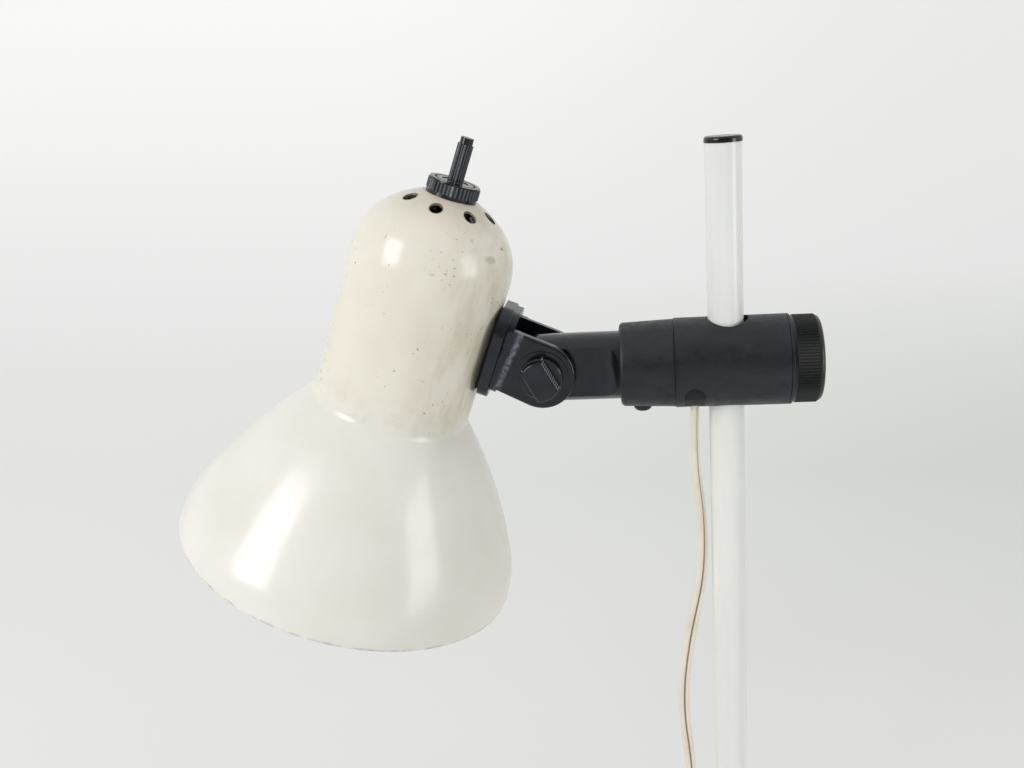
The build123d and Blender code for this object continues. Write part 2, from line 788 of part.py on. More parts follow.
with BuildPart() as pivot_knob:
    with BuildSketch(SIDE.offset(knob_seat)):
        with Locations((pivot_x, 0)):
            Circle(grip_disc_r)
    extrude(amount=grip_disc_h)
    chamfer(pivot_knob.faces().sort_by(Axis.Y)[0].edges(), grip_disc_h / 6)
    with BuildSketch(SIDE.offset(knob_seat + grip_disc_h)):
        with Locations(Location((pivot_x, 0), grip_angle)):
            Rectangle(2 * grip_disc_r, grip_bar_w)
        with Locations((pivot_x, 0)):
            Circle(grip_disc_r - grip_disc_h / 6, mode=Mode.INTERSECT)
    extrude(amount=grip_bar_h)
    fillet(pivot_knob.faces().sort_by(Axis.Y)[0].edges(), grip_bar_h / 6)
    with BuildSketch(SIDE.offset(knob_seat)):
        with Locations((pivot_x, 0)):
            Circle(pivot_screw_r + seat_gap)
    extrude(amount=screw_grip, mode=Mode.SUBTRACT)
pivot_knob.part.label = "pivot_knob"
export_step(pivot_knob.part, "parts/pivot_knob.step")

neck_in = neck_r - sheet_t
backing_face = neck_in - backing_t
with BuildPart() as backing_strip:
    with BuildSketch(HEAD.offset(backing_low)):
        Circle(neck_in - seat_gap)
        with Locations((backing_face + neck_r / 2, 0)):
            Rectangle(neck_r, 2 * backing_half, mode=Mode.INTERSECT)
    extrude(amount=backing_high - backing_low)
    bolt_holes(bolt_r + seat_gap, backing_face, neck_r)
    flex_hole(backing_face, neck_r)
backing_strip.part.label = "backing_strip"
export_step(backing_strip.part, "parts/backing_strip.step")

with BuildPart() as bracket_bolts:
    with BuildSketch(BEHIND_NECK.offset(backing_face)):
        with Locations(*[(0, place) for place in bolt_places]):
            Circle(bolt_r)
    extrude(amount=foot_face - backing_face)
    with BuildSketch(BEHIND_NECK.offset(backing_face)):
        with Locations(*[(0, place) for place in bolt_places]):
            Circle(bolt_head_r)
    extrude(amount=-bolt_head_t)
bracket_bolts.part.label = "bracket_bolts"
export_step(bracket_bolts.part, "parts/bracket_bolts.step")

# Shade: the spun line from the rim over bell, crease, neck and crown to the flat land under the nut
bell_u = rim_r - rim_curve_r + (rim_curve_r - bell_curve_r) * cos(radians(rim_turn))
bell_end = degrees(acos((neck_r + crease_r - bell_u) / (bell_curve_r + crease_r)))
crown_u = neck_r - shoulder_r + (shoulder_r - crown_r) * cos(radians(shoulder_turn))
crown_t = neck_top + (shoulder_r - crown_r) * sin(radians(shoulder_turn))
crown_end = degrees(acos((land_r - crown_u) / crown_r))


def shade_outline(inset):
    """Closed half section of the shade's body, drawn inside its outer line by inset."""
    with BuildLine() as outline:
        rim_arc = JernArc((rim_r - inset, 0), (0, 1), rim_curve_r - inset, rim_turn)
        bell = JernArc(rim_arc @ 1, rim_arc % 1, bell_curve_r - inset, bell_end - rim_turn)
        crease = JernArc(bell @ 1, bell % 1, crease_r + inset, -bell_end)
        neck = Line(crease @ 1, ((crease @ 1).X, neck_top))
        shoulder = JernArc(neck @ 1, (0, 1), shoulder_r - inset, shoulder_turn)
        crown = JernArc(shoulder @ 1, shoulder % 1, crown_r - inset, crown_end - shoulder_turn)
        Polyline(crown @ 1, (0, (crown @ 1).Y), (0, 0), rim_arc @ 0)
    return outline.line


shade_outer = shade_outline(0)
shade_inner = shade_outline(sheet_t)
with BuildPart() as shade:
    with BuildSketch(PROFILE) as wall:
        make_face(shade_outer.edges())
        make_face(shade_inner.edges(), mode=Mode.SUBTRACT)
        with Locations((rim_r - sheet_t - hem_t / 2, hem_h / 2)):
            Rectangle(hem_t + sheet_t, hem_h)
        fillet(wall.vertices().group_by(Axis.Y)[0], sheet_t / 2)
    revolve(axis=head_axis)
    with BuildSketch(HEAD.offset(neck_top)):
        with PolarLocations(vent_ring_r, vent_count, start_angle=vent_phase - 90):
            Circle(vent_r)
        Circle(bush_r + seat_gap)
    extrude(amount=neck_r, mode=Mode.SUBTRACT)
    bolt_holes(bolt_r + seat_gap, neck_in - sheet_t, 3 * sheet_t)
    flex_hole(neck_in - sheet_t, 3 * sheet_t)
shade.part.label = "shade"
export_step(shade.part, "parts/shade.step")

# Lampholder: hung in the crown by its bush, with the ring nut outside
land_t = crown_t + crown_r * sin(radians(crown_end))
land_in = crown_t + (crown_r - sheet_t) * sin(radians(crown_end))
ring_low = land_t + holder_washer_t
ring_top = ring_low + nut_h
split_t = land_in - holder_cap_h
cap_in = holder_r - holder_wall
flange_top = split_t + holder_flange_h
with BuildPart() as holder_cap:
    revolved(
        [
            (bush_r + seat_gap, flange_top),
            (bush_flange_r + 1, flange_top),
            (cap_in, split_t + holder_inner_h),
            (cap_in, split_t),
            (holder_r, split_t),
            (holder_r, split_t + holder_wall_h),
            (bush_flange_r + 2, flange_top + holder_wall),
            (bush_flange_r, flange_top + holder_wall),
            (bush_flange_r, land_in),
            (bush_r + seat_gap, land_in),
        ],
        PROFILE,
        head_axis,
    )
    with BuildSketch(BEHIND_NECK):
        with Locations((0, split_t + flex_entry_h)):
            Circle(flex_r + slip_gap)
    extrude(amount=holder_r, mode=Mode.SUBTRACT)
holder_cap.part.label = "holder_cap"
export_step(holder_cap.part, "parts/holder_cap.step")

with BuildPart() as holder_bush:
    with BuildSketch(HEAD.offset(flange_top - bush_flange_t)):
        Circle(bush_flange_r)
    extrude(amount=bush_flange_t)
    with BuildSketch(HEAD.offset(flange_top)):
        Circle(bush_r)
    extrude(amount=ring_top - slip_gap - flange_top)
    with BuildSketch(HEAD.offset(flange_top - bush_flange_t)):
        Circle(spindle_r + running_fit)
    extrude(amount=ring_top, mode=Mode.SUBTRACT)
holder_bush.part.label = "holder_bush"
export_step(holder_bush.part, "parts/holder_bush.step")

with BuildPart() as holder_washer:
    with BuildSketch(HEAD.offset(land_t)):
        Circle(holder_washer_r)
        Circle(bush_r + seat_gap, mode=Mode.SUBTRACT)
    extrude(amount=holder_washer_t)
holder_washer.part.label = "holder_washer"
export_step(holder_washer.part, "parts/holder_washer.step")

ring_edge = nut_h / 8
with BuildPart() as holder_nut:
    for low, high, outline_r in (
        (ring_low, ring_low + ring_edge, nut_r - nut_tooth_h),
        (ring_top - ring_edge, ring_top, nut_r - nut_tooth_h),
    ):
        with BuildSketch(HEAD.offset(low)):
            Circle(outline_r)
        extrude(amount=high - low)
    with BuildSketch(HEAD.offset(ring_low + ring_edge)):
        with BuildLine():
            Polyline(*gear_points(nut_r, nut_tooth_h, nut_teeth), close=True)
        make_face()
    extrude(amount=nut_h - 2 * ring_edge)
    with BuildSketch(HEAD.offset(ring_low)):
        Circle(bush_r + seat_gap)
    extrude(amount=nut_h, mode=Mode.SUBTRACT)
    with BuildSketch(HEAD.offset(ring_top)):
        Circle((nut_r + bush_r) / 2 + ring_edge / 2)
        Circle((nut_r + bush_r) / 2 - ring_edge / 2, mode=Mode.SUBTRACT)
    extrude(amount=-ring_edge, mode=Mode.SUBTRACT)
holder_nut.part.label = "holder_nut"
export_step(holder_nut.part, "parts/holder_nut.step")

block_top = split_t + block_t
rotor_low = block_top + face_gap
spindle_top = ring_top + spindle_len
with BuildPart() as switch_spindle:
    with BuildSketch(HEAD.offset(rotor_low)):
        Circle(spindle_r)
    extrude(amount=ring_top + running_fit - rotor_low)
    with BuildSketch(HEAD.offset(ring_top + running_fit)):
        with BuildLine():
            Polyline(*gear_points(spindle_r, spindle_tooth_h, spindle_teeth), close=True)
        make_face()
    extrude(amount=spindle_spline)
    with BuildSketch(HEAD.offset(spindle_top)):
        Circle(spindle_r - 2 * spindle_tooth_h)
    extrude(amount=-spindle_tip)
    with BuildSketch(HEAD.offset(spindle_top)):
        Rectangle(2 * spindle_r, spindle_slot)
    extrude(amount=-spindle_slot_depth, mode=Mode.SUBTRACT)
switch_spindle.part.label = "switch_spindle"
export_step(switch_spindle.part, "parts/switch_spindle.step")

with BuildPart() as switch_rotor:
    with BuildSketch(HEAD.offset(rotor_low)):
        Circle(rotor_r)
        with PolarLocations(rotor_r, 4):
            Circle(rotor_r / 4, mode=Mode.SUBTRACT)
        Circle(spindle_r + seat_gap, mode=Mode.SUBTRACT)
    extrude(amount=rotor_t)
switch_rotor.part.label = "switch_rotor"
export_step(switch_rotor.part, "parts/switch_rotor.step")

with BuildPart() as contact_block:
    with BuildSketch(HEAD.offset(split_t)):
        Circle(cap_in - seat_gap)
    extrude(amount=block_t)
contact_block.part.label = "contact_block"
export_step(contact_block.part, "parts/contact_block.step")

body_floor = 2 * holder_wall
shell_top = split_t - body_floor
with BuildPart() as holder_body:
    with BuildSketch(HEAD.offset(split_t - holder_body_h)):
        Circle(holder_r - seat_gap)
    extrude(amount=holder_body_h)
    with BuildSketch(HEAD.offset(split_t - holder_body_h)):
        Circle(shell_r + seat_gap)
    extrude(amount=holder_body_h - body_floor, mode=Mode.SUBTRACT)
    with BuildSketch(HEAD.offset(split_t)):
        Circle(contact_r + seat_gap)
    extrude(amount=-body_floor, mode=Mode.SUBTRACT)
    fillet(holder_body.faces().sort_by(head_axis)[0].edges(), holder_wall / 2)
holder_body.part.label = "holder_body"
export_step(holder_body.part, "parts/holder_body.step")

with BuildPart() as screw_shell:
    with BuildSketch(HEAD.offset(shell_top)):
        Circle(shell_r)
        Circle(shell_r - shell_wall, mode=Mode.SUBTRACT)
    extrude(amount=-shell_len)
screw_shell.part.label = "screw_shell"
export_step(screw_shell.part, "parts/screw_shell.step")

contact_low = shell_top - holder_wall / 2
with BuildPart() as centre_contact:
    with BuildSketch(HEAD.offset(contact_low)):
        Circle(contact_r)
    extrude(amount=split_t - contact_low)
centre_contact.part.label = "centre_contact"
export_step(centre_contact.part, "parts/centre_contact.step")

cap_low = contact_low - bulb_cap_len
cap_wall = bulb_cap_r - bulb_neck_r - slip_gap
with BuildPart() as bulb_cap:
    revolved(
        [
            (0, contact_low),
            (contact_r, contact_low),
            (contact_r, contact_low - cap_wall),
            (bulb_cap_r, contact_low - bulb_cap_len / 4),
            (bulb_cap_r, cap_low),
            (bulb_cap_r - cap_wall, cap_low),
            (bulb_cap_r - cap_wall, contact_low - bulb_cap_len / 3),
            (0, contact_low - 2 * cap_wall),
        ],
        PROFILE,
        head_axis,
    )
bulb_cap.part.label = "bulb_cap"
export_step(bulb_cap.part, "parts/bulb_cap.step")

bulb_tip = contact_low - bulb_len
glass_top = contact_low - bulb_cap_len / 2
throat_r = bulb_r + contact_r / 2
throat_angle = degrees(acos((bulb_neck_r + throat_r) / (bulb_r + throat_r)))


def bulb_outline(inset):
    """Closed half section of the bulb, drawn inside its outer line by inset."""
    with BuildLine() as outline:
        globe = JernArc((0, bulb_tip + inset), (1, 0), bulb_r - inset, 90 + throat_angle)
        throat = JernArc(globe @ 1, globe % 1, throat_r + inset, -throat_angle)
        Polyline(throat @ 1, ((throat @ 1).X, glass_top), (0, glass_top), globe @ 0)
    return outline.line


bulb_outer = bulb_outline(0)
bulb_inner = bulb_outline(glass_t)
with BuildPart() as bulb_glass:
    with BuildSketch(PROFILE):
        make_face(bulb_outer.edges())
        make_face(bulb_inner.edges(), mode=Mode.SUBTRACT)
    revolve(axis=head_axis)
bulb_glass.part.label = "bulb_glass"
export_step(bulb_glass.part, "parts/bulb_glass.step")

riser_u = (holder_r + backing_face) / 2
entry_t = split_t + flex_entry_h
with BuildPart() as head_flex:
    with BuildLine(PROFILE) as flex_line:
        FilletPolyline(
            (foot_face, pivot_t),
            (riser_u, pivot_t),
            (riser_u, entry_t),
            (cap_in, entry_t),
            radius=2 * flex_r,
        )
    with BuildSketch(Plane(origin=flex_line.line @ 0, z_dir=flex_line.line % 0)):
        Circle(flex_r)
    sweep()
head_flex.part.label = "head_flex"
export_step(head_flex.part, "parts/head_flex.step")

# Cord: a flat twin that hangs from the grip, crosses the base and is coiled on the table behind it
floor_z = cord_t / 2 + floor_gap
lead_end = coil_x + 2 * cord_w
lead_points = [
    (cord_exit[0], cord_exit[1], arm_height - cord_exit_drop),
    (-15.8, -7.4, 286.0),
    (-12.0, -8.6, 254.0),
    (-12.6, -9.8, 222.0),
    (-20.6, -11.0, 188.0),
    (-24.6, -12.0, 154.0),
    (-21.0, -12.6, 118.0),
    (-20.5, -12.9, 84.0),
    (-27.0, -12.2, 54.0),
    (-42.0, -10.0, 30.0),
    (-66.0, -6.0, 29.0),
    (-93.0, -1.0, 32.0),
    (-109.0, 2.0, 22.0),
    (-118.0, 4.5, 8.0),
    (-134.0, 6.0, floor_z),
    (lead_end, coil_y, floor_z),
]


def corner_radii(points):
    """Largest arc that each corner's two runs allow, with a little of each run left straight."""
    radii = []
    for before, corner, after in zip(points, points[1:], points[2:]):
        run_in = Vector(*corner) - Vector(*before)
        run_out = Vector(*after) - Vector(*corner)
        half_turn = radians(run_in.get_angle(run_out)) / 2
        radii.append(corner_share * min(run_in.length, run_out.length) / tan(half_turn))
    return radii


lead_radii = corner_radii(lead_points)
with BuildPart() as cord_lead:
    with BuildLine() as lead_line:
        FilletPolyline(*lead_points, radius=lead_radii)
    with BuildSketch(Plane(origin=lead_line.line @ 0, x_dir=(0, 1, 0), z_dir=lead_line.line % 0)):
        SlotOverall(cord_w, cord_t)
    sweep()
cord_lead.part.label = "cord_lead"
export_step(cord_lead.part, "parts/cord_lead.step")
cord_area = (cord_w - cord_t) * cord_t + pi * cord_t**2 / 4
lead_length = sum(edge.length for edge in lead_line.edges())
print("cord lead: tightest radius", round(min(lead_radii), 1), "length", round(lead_length, 1))
print("volume over section times length", round(cord_lead.part.volume / cord_area / lead_length, 4))

# Coil: half turns about two centres, in on the table, up one layer, out again, and up to the plug
half_turns = 2 * coil_turns_layer
coil_radii = [coil_inner_r + (half_turns - n) * coil_pitch / 2 for n in range(half_turns)]
coil_radii += [coil_inner_r + n * coil_pitch / 2 for n in range(half_turns + 1)]
plug_axis = floor_gap + plug_t / 2
coil_rises = [0] * len(coil_radii)
coil_rises[half_turns] = coil_climb
coil_rises[-1] = plug_axis - floor_z - coil_climb
coil_points = []
with BuildPart() as cord_coil:
    with BuildLine() as coil_line:
        start = Vector(coil_x, coil_y, floor_z)
        Line((lead_end, coil_y, floor_z), start)
        for number, (radius, rise) in enumerate(zip(coil_radii, coil_rises)):
            side = -1 if number % 2 == 0 else 1
            span = sqrt((2 * radius) ** 2 - rise**2)
            end = start + Vector(0, side * span, rise)
            middle = (start + end) * 0.5 + Vector(side * radius, 0, 0)
            turn = ThreePointArc(start, middle, end)
            coil_points += [turn @ (step / coil_samples) for step in range(coil_samples)]
            start = end
        plug_rear = start.X + plug_tail
        plug_y = start.Y
        Line(start, (plug_rear, start.Y, start.Z))
    with BuildSketch(Plane(origin=(lead_end, coil_y, floor_z), x_dir=(0, 1, 0), z_dir=(-1, 0, 0))):
        SlotOverall(cord_w, cord_t)
    sweep()
cord_coil.part.label = "cord_coil"
export_step(cord_coil.part, "parts/cord_coil.step")
coil_length = sum(edge.length for edge in coil_line.edges())
gaps = []
for here, point in enumerate(coil_points):
    for other in coil_points[here + coil_samples :]:
        apart = point - other
        gaps.append(max(Vector(apart.X, apart.Y, 0).length - cord_w, abs(apart.Z) - cord_t))
print("coil: length", round(coil_length, 1), "least gap between turns", round(min(gaps), 2))
print("volume over section times length", round(cord_coil.part.volume / cord_area / coil_length, 4))
print("whole cord", round(lead_length + coil_length, 1))

# Plug: a flat two-pin body with its moulded relief, lying beside the coil
relief_end = plug_rear + plug_relief
pin_face = relief_end + plug_len
pin_places = [(plug_y - pin_spacing / 2, 0), (plug_y + pin_spacing / 2, 0)]
PLUG = Plane(origin=(0, 0, plug_axis), x_dir=(0, 1, 0), z_dir=(1, 0, 0))
with BuildPart() as plug_body:
    with BuildSketch(PLUG.offset(relief_end)):
        with Locations((plug_y, 0)):
            RectangleRounded(2 * plug_neck_half, plug_neck_t, plug_t / 4)
    with BuildSketch(PLUG.offset(relief_end + plug_taper)):
        with Locations((plug_y, 0)):
            RectangleRounded(2 * plug_half, plug_t, plug_t / 4)
    loft()
    with BuildSketch(PLUG.offset(relief_end + plug_taper)):
        with Locations((plug_y, 0)):
            RectangleRounded(2 * plug_half, plug_t, plug_t / 4)
    extrude(amount=plug_len - plug_taper)
    with BuildSketch(PLUG.offset(plug_rear)):
        with Locations((plug_y, 0)):
            RectangleRounded(cord_w + 2, cord_t + 2, cord_t / 2)
    with BuildSketch(PLUG.offset(relief_end)):
        with Locations((plug_y, 0)):
            RectangleRounded(2 * relief_half, relief_t, cord_t)
    loft()
    with BuildSketch(PLUG.offset(pin_face)):
        with Locations(*pin_places):
            Circle(pin_r + seat_gap)
    extrude(amount=-pin_sleeve, mode=Mode.SUBTRACT)
plug_body.part.label = "plug_body"
export_step(plug_body.part, "parts/plug_body.step")

with BuildPart() as plug_pins:
    with BuildSketch(PLUG.offset(pin_face - pin_sleeve)):
        with Locations(*pin_places):
            Circle(pin_r)
    extrude(amount=pin_sleeve + pin_len)
    fillet(plug_pins.edges().group_by(Axis.X)[-1], pin_end_r)
    with BuildSketch(PLUG.offset(pin_face)):
        with Locations(*pin_places):
            Circle(pin_r + seat_gap)
            Circle(pin_sleeve_r, mode=Mode.SUBTRACT)
    extrude(amount=pin_sleeve, mode=Mode.SUBTRACT)
plug_pins.part.label = "plug_pins"
export_step(plug_pins.part, "parts/plug_pins.step")
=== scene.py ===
from math import cos, pi, radians, sin

import bmesh
import bpy
from mathutils import Matrix, Vector


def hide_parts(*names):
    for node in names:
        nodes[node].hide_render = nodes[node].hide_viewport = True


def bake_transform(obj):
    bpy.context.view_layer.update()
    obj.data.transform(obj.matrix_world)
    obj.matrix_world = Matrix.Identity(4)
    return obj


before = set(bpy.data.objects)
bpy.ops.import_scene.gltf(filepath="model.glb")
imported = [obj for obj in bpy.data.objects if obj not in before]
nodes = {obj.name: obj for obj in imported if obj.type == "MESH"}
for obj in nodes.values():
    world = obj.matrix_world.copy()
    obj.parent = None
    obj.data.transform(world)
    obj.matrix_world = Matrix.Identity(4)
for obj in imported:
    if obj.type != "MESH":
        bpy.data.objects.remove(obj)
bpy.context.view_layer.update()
MM = 0.001

# Places and angles that repeat the solids' own, in millimetres and radians
ARM_HEIGHT = 330.0
RIM_CENTRE = Vector((-188.161, 0.0, 240.154))
HEAD_TILT = radians(21.74)
PIVOT = Vector((-83.0, 0.0, ARM_HEIGHT))
GRIP_ANGLE = radians(-62.2)
SEAM_X = -23.5
HEAD_RIGHT = Vector((cos(HEAD_TILT), 0.0, -sin(HEAD_TILT)))
HEAD_UP = Vector((sin(HEAD_TILT), 0.0, cos(HEAD_TILT)))


def linear(code):
    """Linear colour of an sRGB hex code."""
    parts = [int(code[start : start + 2], 16) / 255 for start in (1, 3, 5)]
    parts = [c / 12.92 if c <= 0.04045 else ((c + 0.055) / 1.055) ** 2.4 for c in parts]
    return (*parts, 1.0)


def wire(tree, node, **sockets):
    """Give a node's sockets their values or links. A name of _ and a number is the socket's place."""
    for name, value in sockets.items():
        key = int(name[1:]) if name[0] == "_" else name.replace("_", " ")
        if isinstance(value, bpy.types.Node):
            value = value.outputs[0]
        if isinstance(value, bpy.types.NodeSocket):
            tree.links.new(value, node.inputs[key])
        else:
            node.inputs[key].default_value = value


def add(tree, kind, settings=None, **sockets):
    """New node in a tree with its settings and links; the setting "stops" fills a colour ramp."""
    made = tree.nodes.new(kind)
    for name, value in (settings or {}).items():
        if name != "stops":
            setattr(made, name, value)
            continue
        stops = made.color_ramp.elements
        for number, (position, code) in enumerate(value):
            stop = stops[number] if number < len(stops) else stops.new(position)
            stop.position = position
            stop.color = linear(code)
    wire(tree, made, **sockets)
    return made


def material(name):
    """New material: its node tree, its main shader and the object's coordinates."""
    made = bpy.data.materials.new(name)
    made.use_nodes = True
    tree = made.node_tree
    place = add(tree, "ShaderNodeTexCoord").outputs["Object"]
    return made, tree, tree.nodes["Principled BSDF"], place


# Camera: fitted to the photograph, its place in metres
CAMERA_PLACE = (-0.0318, -0.4206, 0.4544)
turn, pitch, roll = radians(-7.74), radians(16.35), radians(-4.25)
forward = Vector((sin(turn) * cos(pitch), cos(turn) * cos(pitch), -sin(pitch)))
level = Vector((cos(turn), -sin(turn), 0.0))
rise = level.cross(forward)
right = level * cos(roll) + rise * sin(roll)
up = rise * cos(roll) - level * sin(roll)
camera_data = bpy.data.cameras.new("camera")
camera_data.sensor_width = 36.0
camera_data.lens = 33.26
camera_data.shift_x = -0.0200
camera_data.shift_y = -0.0158
camera = bpy.data.objects.new("camera", camera_data)
camera_axes = Matrix((right, up, -forward)).transposed().to_4x4()
camera.matrix_world = Matrix.Translation(CAMERA_PLACE) @ camera_axes
bpy.context.scene.collection.objects.link(camera)
bpy.context.scene.camera = camera

# Cord: a flat twin, on the route of the solids, in millimetres
CORD_WIDTH = 5.6
CORD_THICK = 2.8
FLOOR_Z = 1.5
COIL_X = -165.0
COIL_Y = 6.0
COIL_INNER = 22.4
COIL_PITCH = 6.2
COIL_CLIMB = 3.4
COIL_HALF_TURNS = 6
HALF_TURN_POINTS = 8
PLUG_AXIS = 6.95
PLUG_TAIL = 6.0
PLUG_SEAT = 2.0
lead_points = [
    (-14.6, -7.0, 314.8),
    (-15.8, -5.0, 286.0),
    (-12.2, -4.0, 254.0),
    (-12.8, -4.5, 222.0),
    (-20.6, -6.0, 188.0),
    (-24.6, -7.5, 154.0),
    (-21.0, -9.5, 118.0),
    (-20.5, -11.5, 84.0),
    (-27.0, -12.2, 54.0),
    (-42.0, -10.0, 30.0),
    (-66.0, -6.0, 29.0),
    (-93.0, -1.0, 32.0),
    (-109.0, 2.0, 22.0),
    (-118.0, 4.5, 8.0),
    (-134.0, 6.0, FLOOR_Z),
    (-153.8, 6.0, FLOOR_Z),
]
coil_radii = [COIL_INNER + (COIL_HALF_TURNS - n) * COIL_PITCH / 2 for n in range(COIL_HALF_TURNS)]
coil_radii += [COIL_INNER + n * COIL_PITCH / 2 for n in range(COIL_HALF_TURNS + 1)]
coil_points = []
start_y, start_z = COIL_Y, FLOOR_Z
climb = {COIL_HALF_TURNS: COIL_CLIMB, len(coil_radii) - 1: PLUG_AXIS - FLOOR_Z - COIL_CLIMB}
step = pi / HALF_TURN_POINTS
for number, radius in enumerate(coil_radii):
    side = -1 if number % 2 == 0 else 1
    gain = climb.get(number, 0.0)
    for point in range(HALF_TURN_POINTS):
        angle = (point + 0.5) * step
        reach = radius / cos(step / 2)
        coil_points.append(
            (
                COIL_X + side * reach * sin(angle),
                start_y + side * (radius - reach * cos(angle)),
                start_z + gain * (point + 0.5) / HALF_TURN_POINTS,
            )
        )
    start_y += side * 2 * radius
    start_z += gain
plug_rear = Vector((COIL_X + PLUG_TAIL, start_y, PLUG_AXIS))
coil_points += [(COIL_X, start_y, PLUG_AXIS), tuple(plug_rear + Vector((PLUG_SEAT, 0, 0)))]


def route_of(points, name):
    """Points along the smooth line that a cord follows, in metres."""
    data = bpy.data.curves.new(name, "CURVE")
    data.dimensions = "3D"
    data.resolution_u = 10
    spline = data.splines.new("NURBS")
    spline.points.add(len(points) - 1)
    for target, point in zip(spline.points, points):
        target.co = (*[c * MM for c in point], 1.0)
    spline.order_u = 3
    spline.use_endpoint_u = True
    holder = bpy.data.objects.new(name, data)
    bpy.context.scene.collection.objects.link(holder)
    bpy.context.view_layer.update()
    line = bpy.data.meshes.new_from_object(holder)
    found = [vertex.co.copy() for vertex in line.vertices]
    bpy.data.objects.remove(holder)
    return found


# Turn of the cord's flat side about its own line, in degrees, by height above the table in millimetres
TWIST = [(0, 0), (34, 0), (60, 20), (105, 62), (150, 74), (205, 74), (230, 52), (262, 34), (330, 24)]
# Below the first height the flat side lies on the table, above the second it hangs free
LIES_BELOW = 8.0
HANGS_ABOVE = 30.0
# Where the line's run over the table is less than this, out of 1, it goes straight down
STEEPEST = 1e-6


def twist_at(height):
    """Turn of the cord's flat side at a height, in radians."""
    for (low, start), (high, end) in zip(TWIST, TWIST[1:]):
        if height <= high:
            share = max(0.0, (height - low) / (high - low))
            share = share * share * (3 - 2 * share)
            return radians(start + (end - start) * share)
    return radians(TWIST[-1][1])


# How far round each core the outline goes, in degrees, before it meets the other core in the groove
GROOVE = 148
SECTION_STEPS = 11


def twin_section(steps):
    """Outline of the flat twin: two round cores side by side with a shallow groove on both faces."""
    core = CORD_THICK / 2
    spread = CORD_WIDTH / 2 - core
    outline = []
    for side in (1, -1):
        for number in range(steps):
            angle = radians(-GROOVE + 2 * GROOVE * number / (steps - 1))
            outline.append((side * (spread + core * cos(angle)), side * core * sin(angle)))
    return outline


HANGING = Vector((0.0, 1.0, 0.0))
cord_route = route_of(lead_points + coil_points, "cord_route")
cord_shape = bmesh.new()
section = twin_section(SECTION_STEPS)
rings = []
for number, point in enumerate(cord_route):
    ahead = cord_route[min(number + 1, len(cord_route) - 1)] - cord_route[max(number - 1, 0)]
    ahead.normalize()
    lying = Vector((ahead.y, -ahead.x, 0.0))
    share = min(1.0, max(0.0, (point.z / MM - LIES_BELOW) / (HANGS_ABOVE - LIES_BELOW)))
    wide = HANGING
    if lying.length > STEEPEST:
        wide = lying.normalized() * (1 - share) + HANGING * share
    wide = (wide - ahead * wide.dot(ahead)).normalized()
    wide = Matrix.Rotation(twist_at(point.z / MM), 3, ahead) @ wide
    thin = ahead.cross(wide)
    rings.append([cord_shape.verts.new(point + (wide * a + thin * b) * MM) for a, b in section])
for before, after in zip(rings, rings[1:]):
    for number in range(len(section)):
        other = (number + 1) % len(section)
        cord_shape.faces.new((before[number], before[other], after[other], after[number]))
cord_shape.faces.new(rings[0][::-1])
cord_shape.faces.new(rings[-1])
bmesh.ops.recalc_face_normals(cord_shape, faces=cord_shape.faces)


def piece(shape, name, finish):
    """Smooth object made from a bmesh, with its material."""
    data = bpy.data.meshes.new(name)
    shape.to_mesh(data)
    shape.free()
    data.polygons.foreach_set("use_smooth", [True] * len(data.polygons))
    made = bpy.data.objects.new(name, data)
    made.data.materials.append(finish)
    bpy.context.scene.collection.objects.link(made)
    return made


# Kinds of node that the materials use, and their usual settings
NOISE = "ShaderNodeTexNoise"
RAMP = "ShaderNodeValToRGB"
RANGE = "ShaderNodeMapRange"
MATH = "ShaderNodeMath"
MIX = "ShaderNodeMix"
BUMP = "ShaderNodeBump"
MAPPING = "ShaderNodeMapping"
VECTOR = "ShaderNodeVectorMath"
XYZ = "ShaderNodeSeparateXYZ"
EASED = {"interpolation_type": "SMOOTHSTEP"}
TIMES = {"operation": "MULTIPLY"}
TIMES_PLUS = {"operation": "MULTIPLY_ADD"}
MINUS = {"operation": "SUBTRACT"}
WITHOUT_SIGN = {"operation": "ABSOLUTE"}
LARGER = {"operation": "MAXIMUM"}
LENGTH = {"operation": "LENGTH"}
COLOURS = {"data_type": "RGBA"}


def per(size):
    """Texture scale for a feature of that size in millimetres."""
    return 1.0 / (size * MM)


def between(start, full):
    """Ends of a map range node's input, in millimetres: where a look starts and where it is full."""
    return {"From_Min": start * MM, "From_Max": full * MM}


def seen_directly(tree):
    """Node that is 1 for the rays of the camera, reflections and clear glass, and 0 for other light."""
    rays = add(tree, "ShaderNodeLightPath").outputs
    seen = add(tree, MATH, LARGER, _0=rays["Is Camera Ray"], _1=rays["Is Glossy Ray"])
    return add(tree, MATH, LARGER, _0=seen, _1=rays["Is Transmission Ray"])


# Stove enamel on spun steel: a hard glossy cream coat over faint spinning waves. It has mellowed more
# on the neck and dome than on the bell, holds kitchen dirt under the nut, is darker in brownish patches
# in the crease and in long streaks on the side towards the arm, has rusted a little round the vents,
# carries a painted edge shade along the rim, and is chipped to dark steel in small spots, with rust
# specks in clusters between them.
# Lengths are in millimetres in the shade's own frame, whose Z runs up its axis from the rim. A pair
# says where a look starts and where it is full.
VENTS = 8
VENT_RING = 19.8
VENT_RADIUS = 2.9
VENT_TURN = radians(40.2)
VENT_RUST = 0.5
NECK_TONE = (74, 96)
DULL_SIDE = (0, 34)
CREASE_BELOW = (78, 86)
CREASE_ABOVE = (104, 88)
UNDER_NUT = (173.5, 184)
RIM_BEAD = (1.7, 0.4)
SMUDGE = (27.5, -20.5, 167.0)
SMUDGE_EDGE = (6.4, 3.6)
SMUDGE_RAGGED = 3.4
enamel, tree, shader, place = material("cream_stove_enamel")
rim_offset = [-MM * RIM_CENTRE.dot(axis) for axis in (HEAD_RIGHT, Vector((0, 1, 0)), HEAD_UP)]
